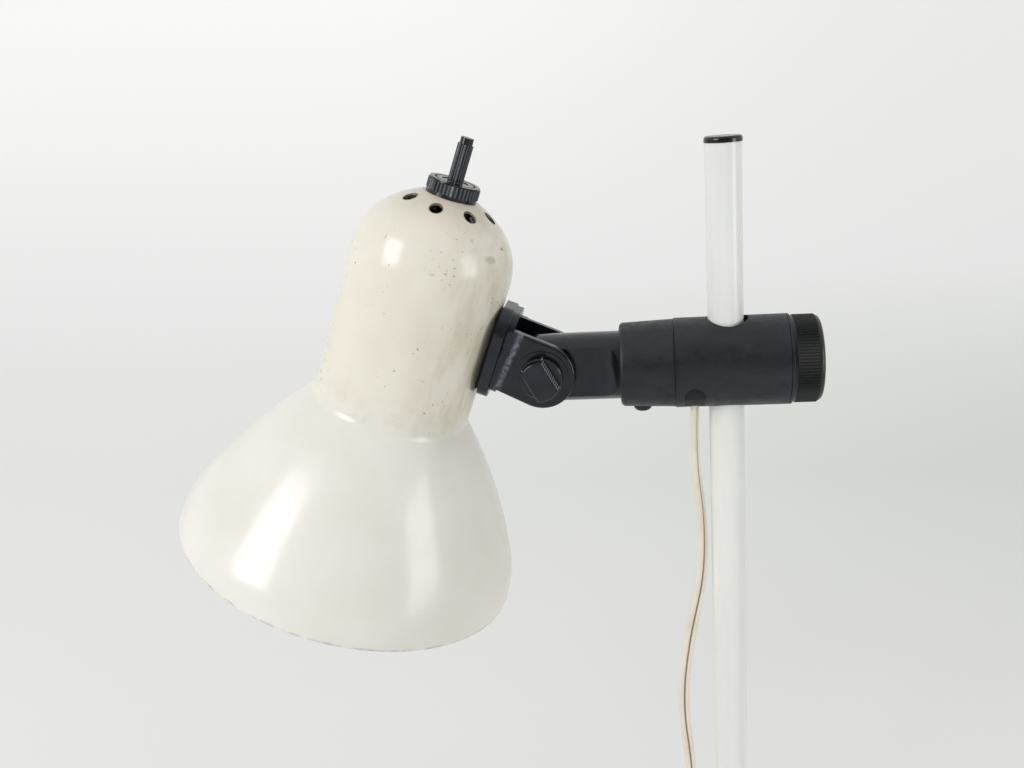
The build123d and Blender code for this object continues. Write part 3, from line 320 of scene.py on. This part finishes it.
IN_HEAD = {"Rotation": (0.0, -HEAD_TILT, 0.0), "Location": rim_offset}
shade_place = add(tree, MAPPING, Vector=place, **IN_HEAD)
along = add(tree, XYZ, Vector=shade_place)
mottle = add(tree, NOISE, Vector=shade_place, Scale=per(38), Detail=4.0)
bell_cream = add(tree, RAMP, {"stops": [(0.35, "#F3F1EA"), (0.65, "#EDEAE1")]}, Fac=mottle)
neck_cream = add(tree, RAMP, {"stops": [(0.35, "#F1ECDF"), (0.65, "#EAE4D5")]}, Fac=mottle)
on_neck = add(tree, RANGE, EASED, Value=along.outputs["Z"], **between(*NECK_TONE))
cream = add(tree, MIX, COLOURS, _0=on_neck, _6=bell_cream, _7=neck_cream).outputs[2]

# long darker streaks down the right of the neck, the side towards the arm
dull_side = add(tree, RANGE, EASED, Value=along.outputs["X"], **between(*DULL_SIDE))
streak_place = add(tree, MAPPING, Vector=shade_place, Scale=(1.0, 1.0, 0.3))
streaks = add(tree, NOISE, Vector=streak_place, Scale=per(9), Detail=5.0, Roughness=0.6)
streaks = add(tree, RANGE, EASED, Value=streaks, From_Min=0.36, From_Max=0.66)
dull = add(tree, MATH, TIMES, _0=dull_side, _1=streaks)
dull = add(tree, MATH, TIMES, _0=dull, _1=on_neck)
dull = add(tree, MATH, TIMES, _0=dull, _1=0.62)
cream = add(tree, MIX, COLOURS, _0=dull, _6=cream, _7=linear("#CFC6AE")).outputs[2]

# darker brownish patches in the crease
crease_rise = add(tree, RANGE, EASED, Value=along.outputs["Z"], **between(*CREASE_BELOW))
crease_fall = add(tree, RANGE, EASED, Value=along.outputs["Z"], **between(*CREASE_ABOVE))
crease_cloud = add(tree, NOISE, Vector=shade_place, Scale=per(7), Detail=5.0, Roughness=0.65)
crease_cloud = add(tree, RANGE, EASED, Value=crease_cloud, From_Min=0.42, From_Max=0.75, To_Max=0.2)
crease_darkening = add(tree, MATH, TIMES, _0=crease_rise, _1=crease_fall)
crease_darkening = add(tree, MATH, TIMES, _0=crease_darkening, _1=crease_cloud)
cream = add(tree, MIX, COLOURS, _0=crease_darkening, _6=cream, _7=linear("#C2A988")).outputs[2]

# dirt under the nut
under_nut = add(tree, RANGE, EASED, Value=along.outputs["Z"], **between(*UNDER_NUT))
nut_cloud = add(tree, NOISE, Vector=shade_place, Scale=per(5), Detail=4.0, Roughness=0.7)
nut_dirt = add(tree, MATH, TIMES, _0=under_nut, _1=nut_cloud)
nut_dirt = add(tree, MATH, TIMES, _0=nut_dirt, _1=0.5)
cream = add(tree, MIX, COLOURS, _0=nut_dirt, _6=cream, _7=linear("#A28F6C")).outputs[2]

# one greasy smudge on the dome, above the arm
from_smudge = add(tree, MAPPING, Vector=shade_place, Location=[-c * MM for c in SMUDGE])
smudge_shape = add(tree, MAPPING, Vector=from_smudge, Scale=(1.0, 1.0, 2.2))
smudge_reach = add(tree, VECTOR, LENGTH, Vector=smudge_shape).outputs["Value"]
smudge_edge = add(tree, NOISE, Vector=shade_place, Scale=per(3), Detail=4.0, Roughness=0.7)
smudge_reach = add(tree, MATH, TIMES_PLUS, _0=smudge_edge, _1=SMUDGE_RAGGED * MM, _2=smudge_reach)
smudge = add(tree, RANGE, EASED, Value=smudge_reach, **between(*SMUDGE_EDGE), To_Max=0.42)
cream = add(tree, MIX, COLOURS, _0=smudge, _6=cream, _7=linear("#9C8F74")).outputs[2]

# rust round each vent: how far a point lies from the middle of the nearest one
flat_place = add(tree, "ShaderNodeCombineXYZ", X=along.outputs["X"], Y=along.outputs["Y"])
from_axis = add(tree, VECTOR, LENGTH, Vector=flat_place).outputs["Value"]
round_axis = add(tree, MATH, {"operation": "ARCTAN2"}, _0=along.outputs["Y"], _1=along.outputs["X"])
round_axis = add(tree, MATH, MINUS, _0=round_axis, _1=VENT_TURN)
round_axis = add(tree, MATH, {"operation": "WRAP"}, _0=round_axis, _1=pi / VENTS, _2=-pi / VENTS)
sideways = add(tree, MATH, TIMES, _0=round_axis, _1=VENT_RING * MM)
inwards = add(tree, MATH, MINUS, _0=from_axis, _1=VENT_RING * MM)
from_vent = add(tree, "ShaderNodeCombineXYZ", X=sideways, Y=inwards)
from_vent = add(tree, VECTOR, LENGTH, Vector=from_vent).outputs["Value"]
vent_edge = between(VENT_RADIUS + VENT_RUST, VENT_RADIUS)
vent_rust = add(tree, RANGE, EASED, Value=from_vent, **vent_edge)
vent_rust = add(tree, MATH, TIMES, _0=vent_rust, _1=under_nut)
vent_rust = add(tree, MATH, TIMES, _0=vent_rust, _1=0.95)
cream = add(tree, MIX, COLOURS, _0=vent_rust, _6=cream, _7=linear("#4E3A24")).outputs[2]

# painted edge shade along the rolled rim, brown, in broken stretches
rim_line = add(tree, RANGE, EASED, Value=along.outputs["Z"], **between(*RIM_BEAD))
rim_breaks = add(tree, NOISE, Vector=shade_place, Scale=per(9), Detail=5.0, Roughness=0.7)
rim_breaks = add(tree, RANGE, EASED, Value=rim_breaks, From_Min=0.38, From_Max=0.66, To_Max=0.5)
rim_edge_shade = add(tree, MATH, TIMES, _0=rim_line, _1=rim_breaks)
cream = add(tree, MIX, COLOURS, _0=rim_edge_shade, _6=cream, _7=linear("#7D6A4C")).outputs[2]

# rust specks of about 1 mm, in clusters on the neck
clusters = add(tree, NOISE, Vector=shade_place, Scale=per(24), Detail=2.0)
clusters = add(tree, RANGE, EASED, Value=clusters, From_Min=0.5, From_Max=0.62)
specks = add(tree, NOISE, Vector=shade_place, Scale=per(2.1), Detail=3.0, Roughness=0.55)
specks = add(tree, RANGE, EASED, Value=specks, From_Min=0.65, From_Max=0.71)
specks = add(tree, MATH, TIMES, _0=specks, _1=clusters)
specks = add(tree, MATH, TIMES, _0=specks, _1=on_neck)
specks = add(tree, MATH, TIMES, _0=specks, _1=0.85)
cream = add(tree, MIX, COLOURS, _0=specks, _6=cream, _7=linear("#70482C")).outputs[2]

# chips of 1 to 2 mm with ragged edges, in about one in six of the cells of a 15 mm grid. Few show,
# because a cell's middle seldom lies on the sheet.
chip_cells = add(tree, "ShaderNodeTexVoronoi", Vector=shade_place, Scale=per(15), Randomness=1.0)
chip_pick = add(tree, "ShaderNodeSeparateColor", Color=chip_cells.outputs["Color"])
chip_size = add(tree, RANGE, Value=chip_pick, From_Min=0.83, From_Max=0.86, To_Max=0.1)
chip_ragged = add(tree, NOISE, Vector=shade_place, Scale=per(0.9))
chip_size = add(tree, MATH, TIMES_PLUS, _0=chip_ragged, _1=-0.06, _2=chip_size)
chip_depth = add(tree, MATH, MINUS, _0=chip_size, _1=chip_cells.outputs["Distance"])
chips = add(tree, RANGE, EASED, Value=chip_depth, From_Min=0.0, From_Max=0.02, To_Max=0.85)
cream = add(tree, MIX, COLOURS, _0=chips, _6=cream, _7=linear("#4A3B2C")).outputs[2]

polish = add(tree, NOISE, Vector=shade_place, Scale=per(9), Detail=5.0, Roughness=0.6)
polish = add(tree, RANGE, Value=polish, From_Min=0.35, From_Max=0.7, To_Min=0.16, To_Max=0.26)
waves = add(tree, NOISE, Vector=shade_place, Scale=per(26))
waves = add(tree, BUMP, Height=waves, Distance=0.2 * MM)
peel = add(tree, NOISE, Vector=shade_place, Scale=per(2.4))
peel = add(tree, BUMP, Height=peel, Distance=0.006 * MM, Normal=waves)
wire(tree, shader, Base_Color=cream, Roughness=polish, Normal=peel)

# Gloss paint on a drawn tube: a colder white than the shade, with faint rubbed marks along the tube
white_gloss, tree, shader, place = material("white_gloss_paint")
drawn = add(tree, MAPPING, Vector=place, Scale=(1.0, 1.0, 0.12))
cloud = add(tree, NOISE, Vector=drawn, Scale=per(11), Detail=4.0)
white = add(tree, RAMP, {"stops": [(0.4, "#F3F4F1"), (0.72, "#EAEBE5")]}, Fac=cloud)
rubs = add(tree, NOISE, Vector=drawn, Scale=per(2.4), Detail=3.0, Roughness=0.7)
rubs = add(tree, RANGE, EASED, Value=rubs, From_Min=0.68, From_Max=0.76, To_Max=0.3)
white = add(tree, MIX, COLOURS, _0=rubs, _6=white, _7=linear("#BDB6A4")).outputs[2]
flow = add(tree, NOISE, Vector=place, Scale=per(2.2))
flow = add(tree, BUMP, Height=flow, Distance=0.008 * MM)
wire(tree, shader, Base_Color=white, Roughness=0.25, Normal=flow)

# Glass-filled nylon, moulded with a spark-eroded grain. The grain is about 0.2 mm and is drawn at
# 0.8 mm so that it shows: nearly black, with a faint cold bloom, worn in patches and without sharp
# reflections. Painted shade darkens the seam between the barrel and the sleeve.
SEAM_SHADE = (0.8, 0.3)
nylon, tree, shader, place = material("black_grained_nylon")
dust_place = add(tree, MAPPING, Vector=place, Scale=(0.45, 1.0, 1.0))
dust = add(tree, NOISE, Vector=dust_place, Scale=per(9), Detail=6.0, Roughness=0.68)
black = add(tree, RAMP, {"stops": [(0.34, "#0D0E10"), (0.68, "#222428")]}, Fac=dust)
seam = add(tree, MAPPING, Vector=place, Location=(-SEAM_X * MM, 0.0, 0.0))
seam = add(tree, MATH, WITHOUT_SIGN, _0=add(tree, XYZ, Vector=seam).outputs["X"])
seam = add(tree, RANGE, EASED, Value=seam, **between(*SEAM_SHADE), To_Max=0.9)
# painted shade in the seam, darkest at its middle
black = add(tree, MIX, COLOURS, _0=seam, _6=black, _7=linear("#020203")).outputs[2]
worn = add(tree, NOISE, Vector=place, Scale=per(5), Detail=5.0, Roughness=0.65)
worn = add(tree, RANGE, Value=worn, From_Min=0.3, From_Max=0.7, To_Min=0.36, To_Max=0.58)
ripple = add(tree, NOISE, Vector=place, Scale=per(12))
ripple = add(tree, BUMP, Height=ripple, Distance=0.08 * MM)
grain = add(tree, NOISE, Vector=place, Scale=per(0.8), Roughness=0.6)
grain = add(tree, BUMP, Height=grain, Distance=0.035 * MM, Normal=ripple)
wire(tree, shader, Base_Color=black, Roughness=worn, Normal=grain)
wire(tree, shader, Specular_Tint=linear("#E9F0FF"))

# The knuckle's nylon comes from a polished mould: darker and glossier, with flow marks and scratches,
# and a mottled pale painted highlight along a line where the fork's near cheek flares into its plate.
# The line's places are in millimetres in the shade's frame, and it leans to the right as it rises.
FLARE_LEAN = 0.11
FLARE_LEFT = (32.4, 34.2)
FLARE_RIGHT = (36.6, 34.8)
NEAR_CHEEK = (-13.5, -14.5)
smooth_nylon, tree, shader, place = material("black_smooth_nylon")
cloud = add(tree, NOISE, Vector=place, Scale=per(7), Detail=5.0, Roughness=0.65)
black = add(tree, RAMP, {"stops": [(0.35, "#090A0D"), (0.7, "#1A1D23")]}, Fac=cloud)
head_frame = add(tree, MAPPING, Vector=place, **IN_HEAD)
on_fork = add(tree, XYZ, Vector=head_frame)
flare = add(tree, MATH, TIMES_PLUS, _0=on_fork.outputs["Z"], _1=-FLARE_LEAN, _2=on_fork.outputs["X"])
flare_from = add(tree, RANGE, EASED, Value=flare, **between(*FLARE_LEFT))
flare_to = add(tree, RANGE, EASED, Value=flare, **between(*FLARE_RIGHT))
near_side = add(tree, RANGE, Value=on_fork.outputs["Y"], **between(*NEAR_CHEEK))
# painted highlight along the flare, broken into mottles
flare_highlight = add(tree, NOISE, Vector=place, Scale=per(1.5), Detail=4.0, Roughness=0.7)
flare_highlight = add(tree, RANGE, EASED, Value=flare_highlight, From_Min=0.3, From_Max=0.62, To_Max=0.6)
flare_highlight = add(tree, MATH, TIMES, _0=flare_highlight, _1=flare_from)
flare_highlight = add(tree, MATH, TIMES, _0=flare_highlight, _1=flare_to)
flare_highlight = add(tree, MATH, TIMES, _0=flare_highlight, _1=near_side)
black = add(tree, MIX, COLOURS, _0=flare_highlight, _6=black, _7=linear("#878E99")).outputs[2]
rubbed = add(tree, NOISE, Vector=place, Scale=per(3.5), Detail=5.0, Roughness=0.65)
rubbed = add(tree, RANGE, Value=rubbed, From_Min=0.3, From_Max=0.7, To_Min=0.13, To_Max=0.26)
swirl = add(tree, NOISE, Vector=place, Scale=per(6), Detail=3.0)
swirl = add(tree, BUMP, Height=swirl, Distance=0.22 * MM)
scratch = add(tree, NOISE, Vector=place, Scale=per(1.2), Detail=3.0, Roughness=0.6)
scratch = add(tree, BUMP, Height=scratch, Distance=0.008 * MM, Normal=swirl)
wire(tree, shader, Base_Color=black, Roughness=rubbed, Normal=scratch)
wire(tree, shader, Specular_Tint=linear("#E9F0FF"))

# The clamp's knob is the same nylon, blacker because its knurl is kept clean by fingers, and paler
# along the knurl's crests, which start and are full at two radii in millimetres
KNURL_CREST = (19.55, 19.85)
knurled_nylon, tree, shader, place = material("black_knurled_nylon")
cloud = add(tree, NOISE, Vector=place, Scale=per(6), Detail=4.0)
black = add(tree, RAMP, {"stops": [(0.35, "#030405"), (0.7, "#090A0C")]}, Fac=cloud)
from_arm = add(tree, MAPPING, Vector=place, Location=(0.0, 0.0, -ARM_HEIGHT * MM), Scale=(0.0, 1.0, 1.0))
from_arm = add(tree, VECTOR, LENGTH, Vector=from_arm).outputs["Value"]
crests = add(tree, RANGE, EASED, Value=from_arm, **between(*KNURL_CREST), To_Max=0.8)
black = add(tree, MIX, COLOURS, _0=crests, _6=black, _7=linear("#16181B")).outputs[2]
rubbed = add(tree, NOISE, Vector=place, Scale=per(3), Detail=5.0, Roughness=0.65)
rubbed = add(tree, RANGE, Value=rubbed, From_Min=0.3, From_Max=0.7, To_Min=0.28, To_Max=0.42)
scratch = add(tree, NOISE, Vector=place, Scale=per(1.4), Detail=3.0, Roughness=0.6)
scratch = add(tree, BUMP, Height=scratch, Distance=0.015 * MM)
wire(tree, shader, Base_Color=black, Roughness=rubbed, Normal=scratch)

# The pivot knob is the same nylon, with fine ribs across the long sides of its grip bar, whose pale
# tone is a painted glint on each rib. The sides lie between two distances from the bar's middle, in
# millimetres.
RIB_PITCH = 1.2
BAR_SIDE_INNER = (5.05, 5.25)
BAR_SIDE_OUTER = (5.75, 5.6)
# The wave texture has a wave for every pi / 10 of its place at a scale of 1
WAVE = pi / 10
ribbed_nylon, tree, shader, place = material("black_ribbed_nylon")
cloud = add(tree, NOISE, Vector=place, Scale=per(7), Detail=4.0)
black = add(tree, RAMP, {"stops": [(0.35, "#0B0D10"), (0.7, "#191C21")]}, Fac=cloud)
centred = add(tree, MAPPING, Vector=place, Location=tuple(-PIVOT * MM))
bar_place = add(tree, MAPPING, Vector=centred, Rotation=(0.0, GRIP_ANGLE, 0.0))
rib_bands = {"bands_direction": "X"}
rib_scale = per(RIB_PITCH) * WAVE
ribs = add(tree, "ShaderNodeTexWave", rib_bands, Vector=bar_place, Scale=rib_scale, Distortion=0.3)
bar = add(tree, XYZ, Vector=bar_place)
across = add(tree, MATH, WITHOUT_SIGN, _0=bar.outputs["Z"])
side_from = add(tree, RANGE, EASED, Value=across, **between(*BAR_SIDE_INNER))
side_to = add(tree, RANGE, EASED, Value=across, **between(*BAR_SIDE_OUTER))
on_side = add(tree, MATH, TIMES, _0=side_from, _1=side_to)
ribs = add(tree, MATH, TIMES, _0=ribs.outputs["Fac"], _1=on_side)
# painted glints: each rib on the bar's sides painted pale
ribs_with_glints = add(tree, MIX, COLOURS, _0=ribs, _6=black, _7=linear("#8E939C")).outputs[2]
ribs = add(tree, BUMP, Height=ribs, Distance=0.25 * MM)
rubbed = add(tree, NOISE, Vector=place, Scale=per(2.5), Detail=5.0, Roughness=0.65)
rubbed = add(tree, RANGE, Value=rubbed, From_Min=0.3, From_Max=0.7, To_Min=0.14, To_Max=0.26)
swirl = add(tree, NOISE, Vector=place, Scale=per(1.6), Detail=3.0)
swirl = add(tree, BUMP, Height=swirl, Distance=0.02 * MM, Normal=ribs)
wire(tree, shader, Base_Color=ribs_with_glints, Roughness=rubbed, Normal=swirl)
wire(tree, shader, Specular_Tint=linear("#E9F0FF"))

# Phenolic resin, pressed and tumbled: black, hard and glossy, with the crests of the nut's and the
# spindle's teeth worn grey. The crests start and are full at two radii in millimetres, and end a
# little outside them.
NUT_CREST = (11.6, 11.95)
SPINDLE_CREST = (3.34, 3.56)
CREST_END = (0.3, 0.2)
phenolic, tree, shader, place = material("black_phenolic")
cloud = add(tree, NOISE, Vector=place, Scale=per(3), Detail=4.0)
black = add(tree, RAMP, {"stops": [(0.35, "#07080A"), (0.7, "#121417")]}, Fac=cloud)
head_frame = add(tree, MAPPING, Vector=place, **IN_HEAD)
flat_place = add(tree, MAPPING, Vector=head_frame, Scale=(1.0, 1.0, 0.0))
from_axis = add(tree, VECTOR, LENGTH, Vector=flat_place).outputs["Value"]
for root, tip in (NUT_CREST, SPINDLE_CREST):
    rising = add(tree, RANGE, EASED, Value=from_axis, **between(root, tip), To_Max=0.85)
    ended = add(tree, RANGE, Value=from_axis, **between(*[tip + past for past in CREST_END]))
    crests = add(tree, MATH, TIMES, _0=rising, _1=ended)
    black = add(tree, MIX, COLOURS, _0=crests, _6=black, _7=linear("#585C64")).outputs[2]
dulled = add(tree, NOISE, Vector=place, Scale=per(2.5), Detail=4.0, Roughness=0.6)
dulled = add(tree, RANGE, Value=dulled, From_Min=0.3, From_Max=0.7, To_Min=0.14, To_Max=0.26)
pits = add(tree, NOISE, Vector=place, Scale=per(1.5), Detail=3.0)
pits = add(tree, BUMP, Height=pits, Distance=0.012 * MM)
wire(tree, shader, Base_Color=black, Roughness=dulled, Normal=pits)

# Frosted glass of the bulb: a smooth outer skin over an etched inside that scatters the light white
frosted, tree, shader, place = material("frosted_glass")
milk = add(tree, NOISE, Vector=place, Scale=per(14), Detail=3.0)
milk = add(tree, RAMP, {"stops": [(0.3, "#F3F1EB"), (0.7, "#EDEAE1")]}, Fac=milk)
wire(tree, shader, Base_Color=milk, Roughness=0.34, Transmission_Weight=0.35)
wire(tree, shader, Coat_Weight=0.6, Coat_Roughness=0.05)

# Cord PVC: extruded, cream gone slightly yellow, satin, with faint grey handling dirt in patches, and
# dirt with painted shade in the groove between the cores
cord_pvc, tree, shader, place = material("cream_cord_pvc")
aged = add(tree, NOISE, Vector=place, Scale=per(17), Detail=4.0)
aged = add(tree, RAMP, {"stops": [(0.35, "#F4ECDE"), (0.7, "#EBE1CE")]}, Fac=aged)
grime = add(tree, NOISE, Vector=place, Scale=per(4), Detail=5.0, Roughness=0.7)
grime = add(tree, RANGE, EASED, Value=grime, From_Min=0.55, From_Max=0.75, To_Max=0.3)
aged = add(tree, MIX, COLOURS, _0=grime, _6=aged, _7=linear("#BCAC8E")).outputs[2]
# dirt and painted shade in the groove between the cores
groove = add(tree, "ShaderNodeAttribute", {"attribute_name": "groove"})
groove = add(tree, RANGE, EASED, Value=groove.outputs["Fac"], From_Min=0.15, From_Max=0.9, To_Max=0.9)
aged = add(tree, MIX, COLOURS, _0=groove, _6=aged, _7=linear("#8A7A5E")).outputs[2]
drag = add(tree, NOISE, Vector=place, Scale=per(1.8), Detail=3.0)
drag = add(tree, BUMP, Height=drag, Distance=0.03 * MM)
wire(tree, shader, Base_Color=aged, Roughness=0.4, Normal=drag)

# The other finishes: two tones in clouds of a size in millimetres, a roughness, how metallic the
# surface is, and the size and depth in millimetres of its grain
OTHERS = {
    # stove enamel on pressed steel, white and smooth
    "white_stove_enamel": ("#F1F2EF", "#EDEEEA", 45, 0.24, 0.0, 2.6, 0.006),
    # pressed phenolic of the lampholder, brown and cloudy
    "brown_phenolic": ("#2B1B13", "#3A261A", 6, 0.28, 0.0, 1.5, 0.01),
    # moulded rubber, a little chalky
    "black_rubber": ("#06080B", "#0F1318", 7, 0.6, 0.0, 0.7, 0.03),
    # zinc plate on steel, dull silver
    "zinc_plated_steel": ("#B9BBBD", "#A3A6AA", 3, 0.36, 1.0, 1.1, 0.004),
    # turned brass, blackened in a bath and oiled
    "blackened_brass": ("#2C2D30", "#45464A", 2.5, 0.22, 1.0, 1.1, 0.006),
    # brass, rolled and pressed, a little tarnished
    "pressed_brass": ("#C9A65E", "#A98646", 4, 0.3, 1.0, 1.4, 0.004),
    # rolled aluminium of the bulb's cap
    "rolled_aluminium": ("#D2D2D0", "#BEBFBE", 3, 0.3, 1.0, 1.2, 0.006),
    # nickel plate on the plug's pins
    "nickel_plate": ("#C4C0B6", "#ADA99F", 2.5, 0.24, 1.0, 1.2, 0.003),
    # iron cast in sand, rough and dark grey
    "sand_cast_iron": ("#3A3A3B", "#2B2B2C", 5, 0.7, 0.0, 1.5, 0.2),
    # PVC of the plug, cream, from a polished mould
    "cream_plug_pvc": ("#E7DECB", "#DDD1B8", 12, 0.33, 0.0, 1.2, 0.012),
    # silicone of the inner flex, white and soft
    "white_silicone": ("#D9D8D2", "#C9C7BF", 8, 0.55, 0.0, 1.0, 0.01),
}
finishes = {}
for name, (first, second, size, rough, metal, grain_size, grain_depth) in OTHERS.items():
    finishes[name], tree, shader, place = material(name)
    cloud = add(tree, NOISE, Vector=place, Scale=per(size), Detail=4.0, Roughness=0.6)
    tone = add(tree, RAMP, {"stops": [(0.33, first), (0.7, second)]}, Fac=cloud)
    grain = add(tree, NOISE, Vector=place, Scale=per(grain_size), Detail=3.0)
    grain = add(tree, BUMP, Height=grain, Distance=grain_depth * MM)
    wire(tree, shader, Base_Color=tone, Roughness=rough, Metallic=metal, Normal=grain)

FINISHES = {
    enamel: ["shade"],
    white_gloss: ["post"],
    finishes["white_stove_enamel"]: ["base_cover"],
    nylon: ["clamp_body", "end_collar", "arm_sleeve", "clamp_plunger"],
    knurled_nylon: ["clamp_knob"],
    smooth_nylon: ["arm", "fork", "neck_saddle", "sleeve_screw", "post_socket"],
    ribbed_nylon: ["pivot_knob"],
    phenolic: ["post_cap", "holder_nut", "holder_washer", "switch_spindle"],
    frosted: ["bulb_glass"],
    finishes["brown_phenolic"]: ["holder_cap", "holder_body", "contact_block", "switch_rotor"],
    finishes["black_rubber"]: ["bracket_pad", "cord_grip", "friction_discs", "base_pad"],
    finishes["zinc_plated_steel"]: [
        "socket_nut",
        "post_stud",
        "post_washer",
        "post_nut",
        "clamp_screw",
        "swivel_clip",
        "pivot_nut",
        "pivot_screw",
        "backing_strip",
        "bracket_bolts",
    ],
    finishes["blackened_brass"]: ["holder_bush"],
    finishes["pressed_brass"]: ["screw_shell", "centre_contact"],
    finishes["rolled_aluminium"]: ["bulb_cap"],
    finishes["nickel_plate"]: ["plug_pins"],
    finishes["sand_cast_iron"]: ["base_weight"],
    finishes["cream_plug_pvc"]: ["plug_body"],
    finishes["white_silicone"]: ["arm_flex", "head_flex"],
    cord_pvc: ["cord_lead", "cord_coil"],
}
for finish, names in FINISHES.items():
    for name in names:
        nodes[name].data.materials.clear()
        nodes[name].data.materials.append(finish)

cord = piece(cord_shape, "cord", cord_pvc)
# each core's outline starts and ends in the groove
in_core = [number % SECTION_STEPS for number in range(len(section))]
in_groove = [1.0 if number in (0, SECTION_STEPS - 1) else 0.0 for number in in_core]
# marks the groove's points, where the material paints dirt and shade
grooves = cord.data.attributes.new("groove", "FLOAT", "POINT")
grooves.data.foreach_set("value", in_groove * len(rings))
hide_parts("cord_lead", "cord_coil")
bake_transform(cord)

# Light: an even pale room, darker behind the camera, with a window on the left and one on the right
bpy.context.scene.view_settings.view_transform = "Standard"
world = bpy.data.worlds.new("room")
world.use_nodes = True
bpy.context.scene.world = world
room = world.node_tree
toward_wall = add(room, XYZ, Vector=add(room, "ShaderNodeTexCoord").outputs["Generated"])
depth = add(room, RANGE, EASED, Value=toward_wall.outputs["Y"], From_Min=-0.95, From_Max=-0.1)
lit_walls = add(room, RAMP, {"stops": [(0.0, "#A9ABAD"), (1.0, "#FAFAF8")]}, Fac=depth)
seen_walls = add(room, RAMP, {"stops": [(0.0, "#808183"), (1.0, "#F2F2F0")]}, Fac=depth)
lit = room.nodes["Background"]
wire(room, lit, Color=lit_walls, Strength=0.6)
shown = add(room, "ShaderNodeBackground", Color=seen_walls, Strength=1.0)
either = add(room, "ShaderNodeMixShader", _0=seen_directly(room), _1=lit, _2=shown)
wire(room, room.nodes["World Output"], Surface=either)
LIGHT_AIM = Vector((-0.1, 0.0, 0.33))


def window(name, azimuth, elevation, distance, width, height, power):
    """Soft light seen from the lamp at an azimuth (0 is the front, + the right) and an elevation in
    degrees, at a distance and with sides in metres, and with a power in watts."""
    data = bpy.data.lights.new(name, "AREA")
    data.shape = "RECTANGLE"
    data.size = width
    data.size_y = height
    data.energy = power
    made = bpy.data.objects.new(name, data)
    a, e = radians(azimuth), radians(elevation)
    toward = Vector((sin(a) * cos(e), -cos(a) * cos(e), sin(e)))
    made.matrix_world = (
        Matrix.Translation(LIGHT_AIM + toward * distance)
        @ toward.to_track_quat("Z", "Y").to_matrix().to_4x4()
    )
    bpy.context.scene.collection.objects.link(made)


LEFT = {"azimuth": -45, "elevation": 27, "distance": 1.5, "width": 0.66, "height": 0.95}
RIGHT = {"azimuth": 66, "elevation": 0, "distance": 1.6, "width": 0.6, "height": 1.05}
window("left_window", **LEFT, power=12.6)
window("right_window", **RIGHT, power=8.5)

# Table and wall in one sweep. The camera and reflections see it glow in pale grey with painted light in
# it, lighter at the left and up the wall and darker on the table near the lamp, and with the object's
# soft shadow in it; the other light sees a plain pale surface. Its sizes are in metres.
SWEEP_HALF = 5.0
SWEEP_FRONT = -4.0
SWEEP_BEND = 1.2
BEND_RADIUS = 1.2
BEND_STEPS = 12
SWEEP_TOP = 5.0
TONES_RUN = 3.2
TONES_HALF = 0.9
sweep_paint, tree, shader, place = material("pale_sweep")
tree.nodes.remove(shader)
spread = add(tree, XYZ, Vector=place)
run = add(tree, MATH, {"operation": "ADD"}, _0=spread.outputs["Y"], _1=spread.outputs["Z"])
run = add(tree, RANGE, Value=run, From_Max=TONES_RUN)
# painted light: lighter at the left and up the wall, darker on the table near the lamp
left_stops = [(0.06, "#DADAD8"), (0.2, "#D9DAD8"), (0.5, "#E2E3E2"), (0.95, "#F6F6F5")]
right_stops = [(0.06, "#CBCCCA"), (0.2, "#BFC3BB"), (0.5, "#DEDFDE"), (0.95, "#E6E6E4")]
left_tone = add(tree, RAMP, {"stops": left_stops}, Fac=run)
right_tone = add(tree, RAMP, {"stops": right_stops}, Fac=run)
across = add(tree, RANGE, EASED, Value=spread.outputs["X"], From_Min=-TONES_HALF, From_Max=TONES_HALF)
seen = add(tree, MIX, COLOURS, _0=across, _6=left_tone, _7=right_tone).outputs[2]
glow = add(tree, "ShaderNodeEmission", Color=seen, Strength=0.92)
plain = add(tree, "ShaderNodeBsdfDiffuse", Color=linear("#80807F"))
pale = add(tree, "ShaderNodeBsdfDiffuse", Color=linear("#E4E4E2"))
shown = add(tree, "ShaderNodeAddShader", _0=glow, _1=plain)
either = add(tree, "ShaderNodeMixShader", _0=seen_directly(tree), _1=pale, _2=shown)
wire(tree, tree.nodes["Material Output"], Surface=either)
ground = bmesh.new()
sweep_line = [(SWEEP_FRONT, 0), (SWEEP_BEND, 0)]
for number in range(1, BEND_STEPS + 1):
    angle = pi / 2 * number / BEND_STEPS
    sweep_line.append(
        (SWEEP_BEND + BEND_RADIUS * sin(angle), BEND_RADIUS - BEND_RADIUS * cos(angle))
    )
sweep_line.append((SWEEP_BEND + BEND_RADIUS, SWEEP_TOP))
edge = [ground.verts.new((-SWEEP_HALF, y, z)) for y, z in sweep_line]
strip = [ground.edges.new(pair) for pair in zip(edge, edge[1:])]
grown = bmesh.ops.extrude_edge_only(ground, edges=strip)["geom"]
moved = [part for part in grown if isinstance(part, bmesh.types.BMVert)]
bmesh.ops.translate(ground, verts=moved, vec=(2 * SWEEP_HALF, 0, 0))
bmesh.ops.recalc_face_normals(ground, faces=ground.faces)
backdrop = piece(ground, "backdrop", sweep_paint)
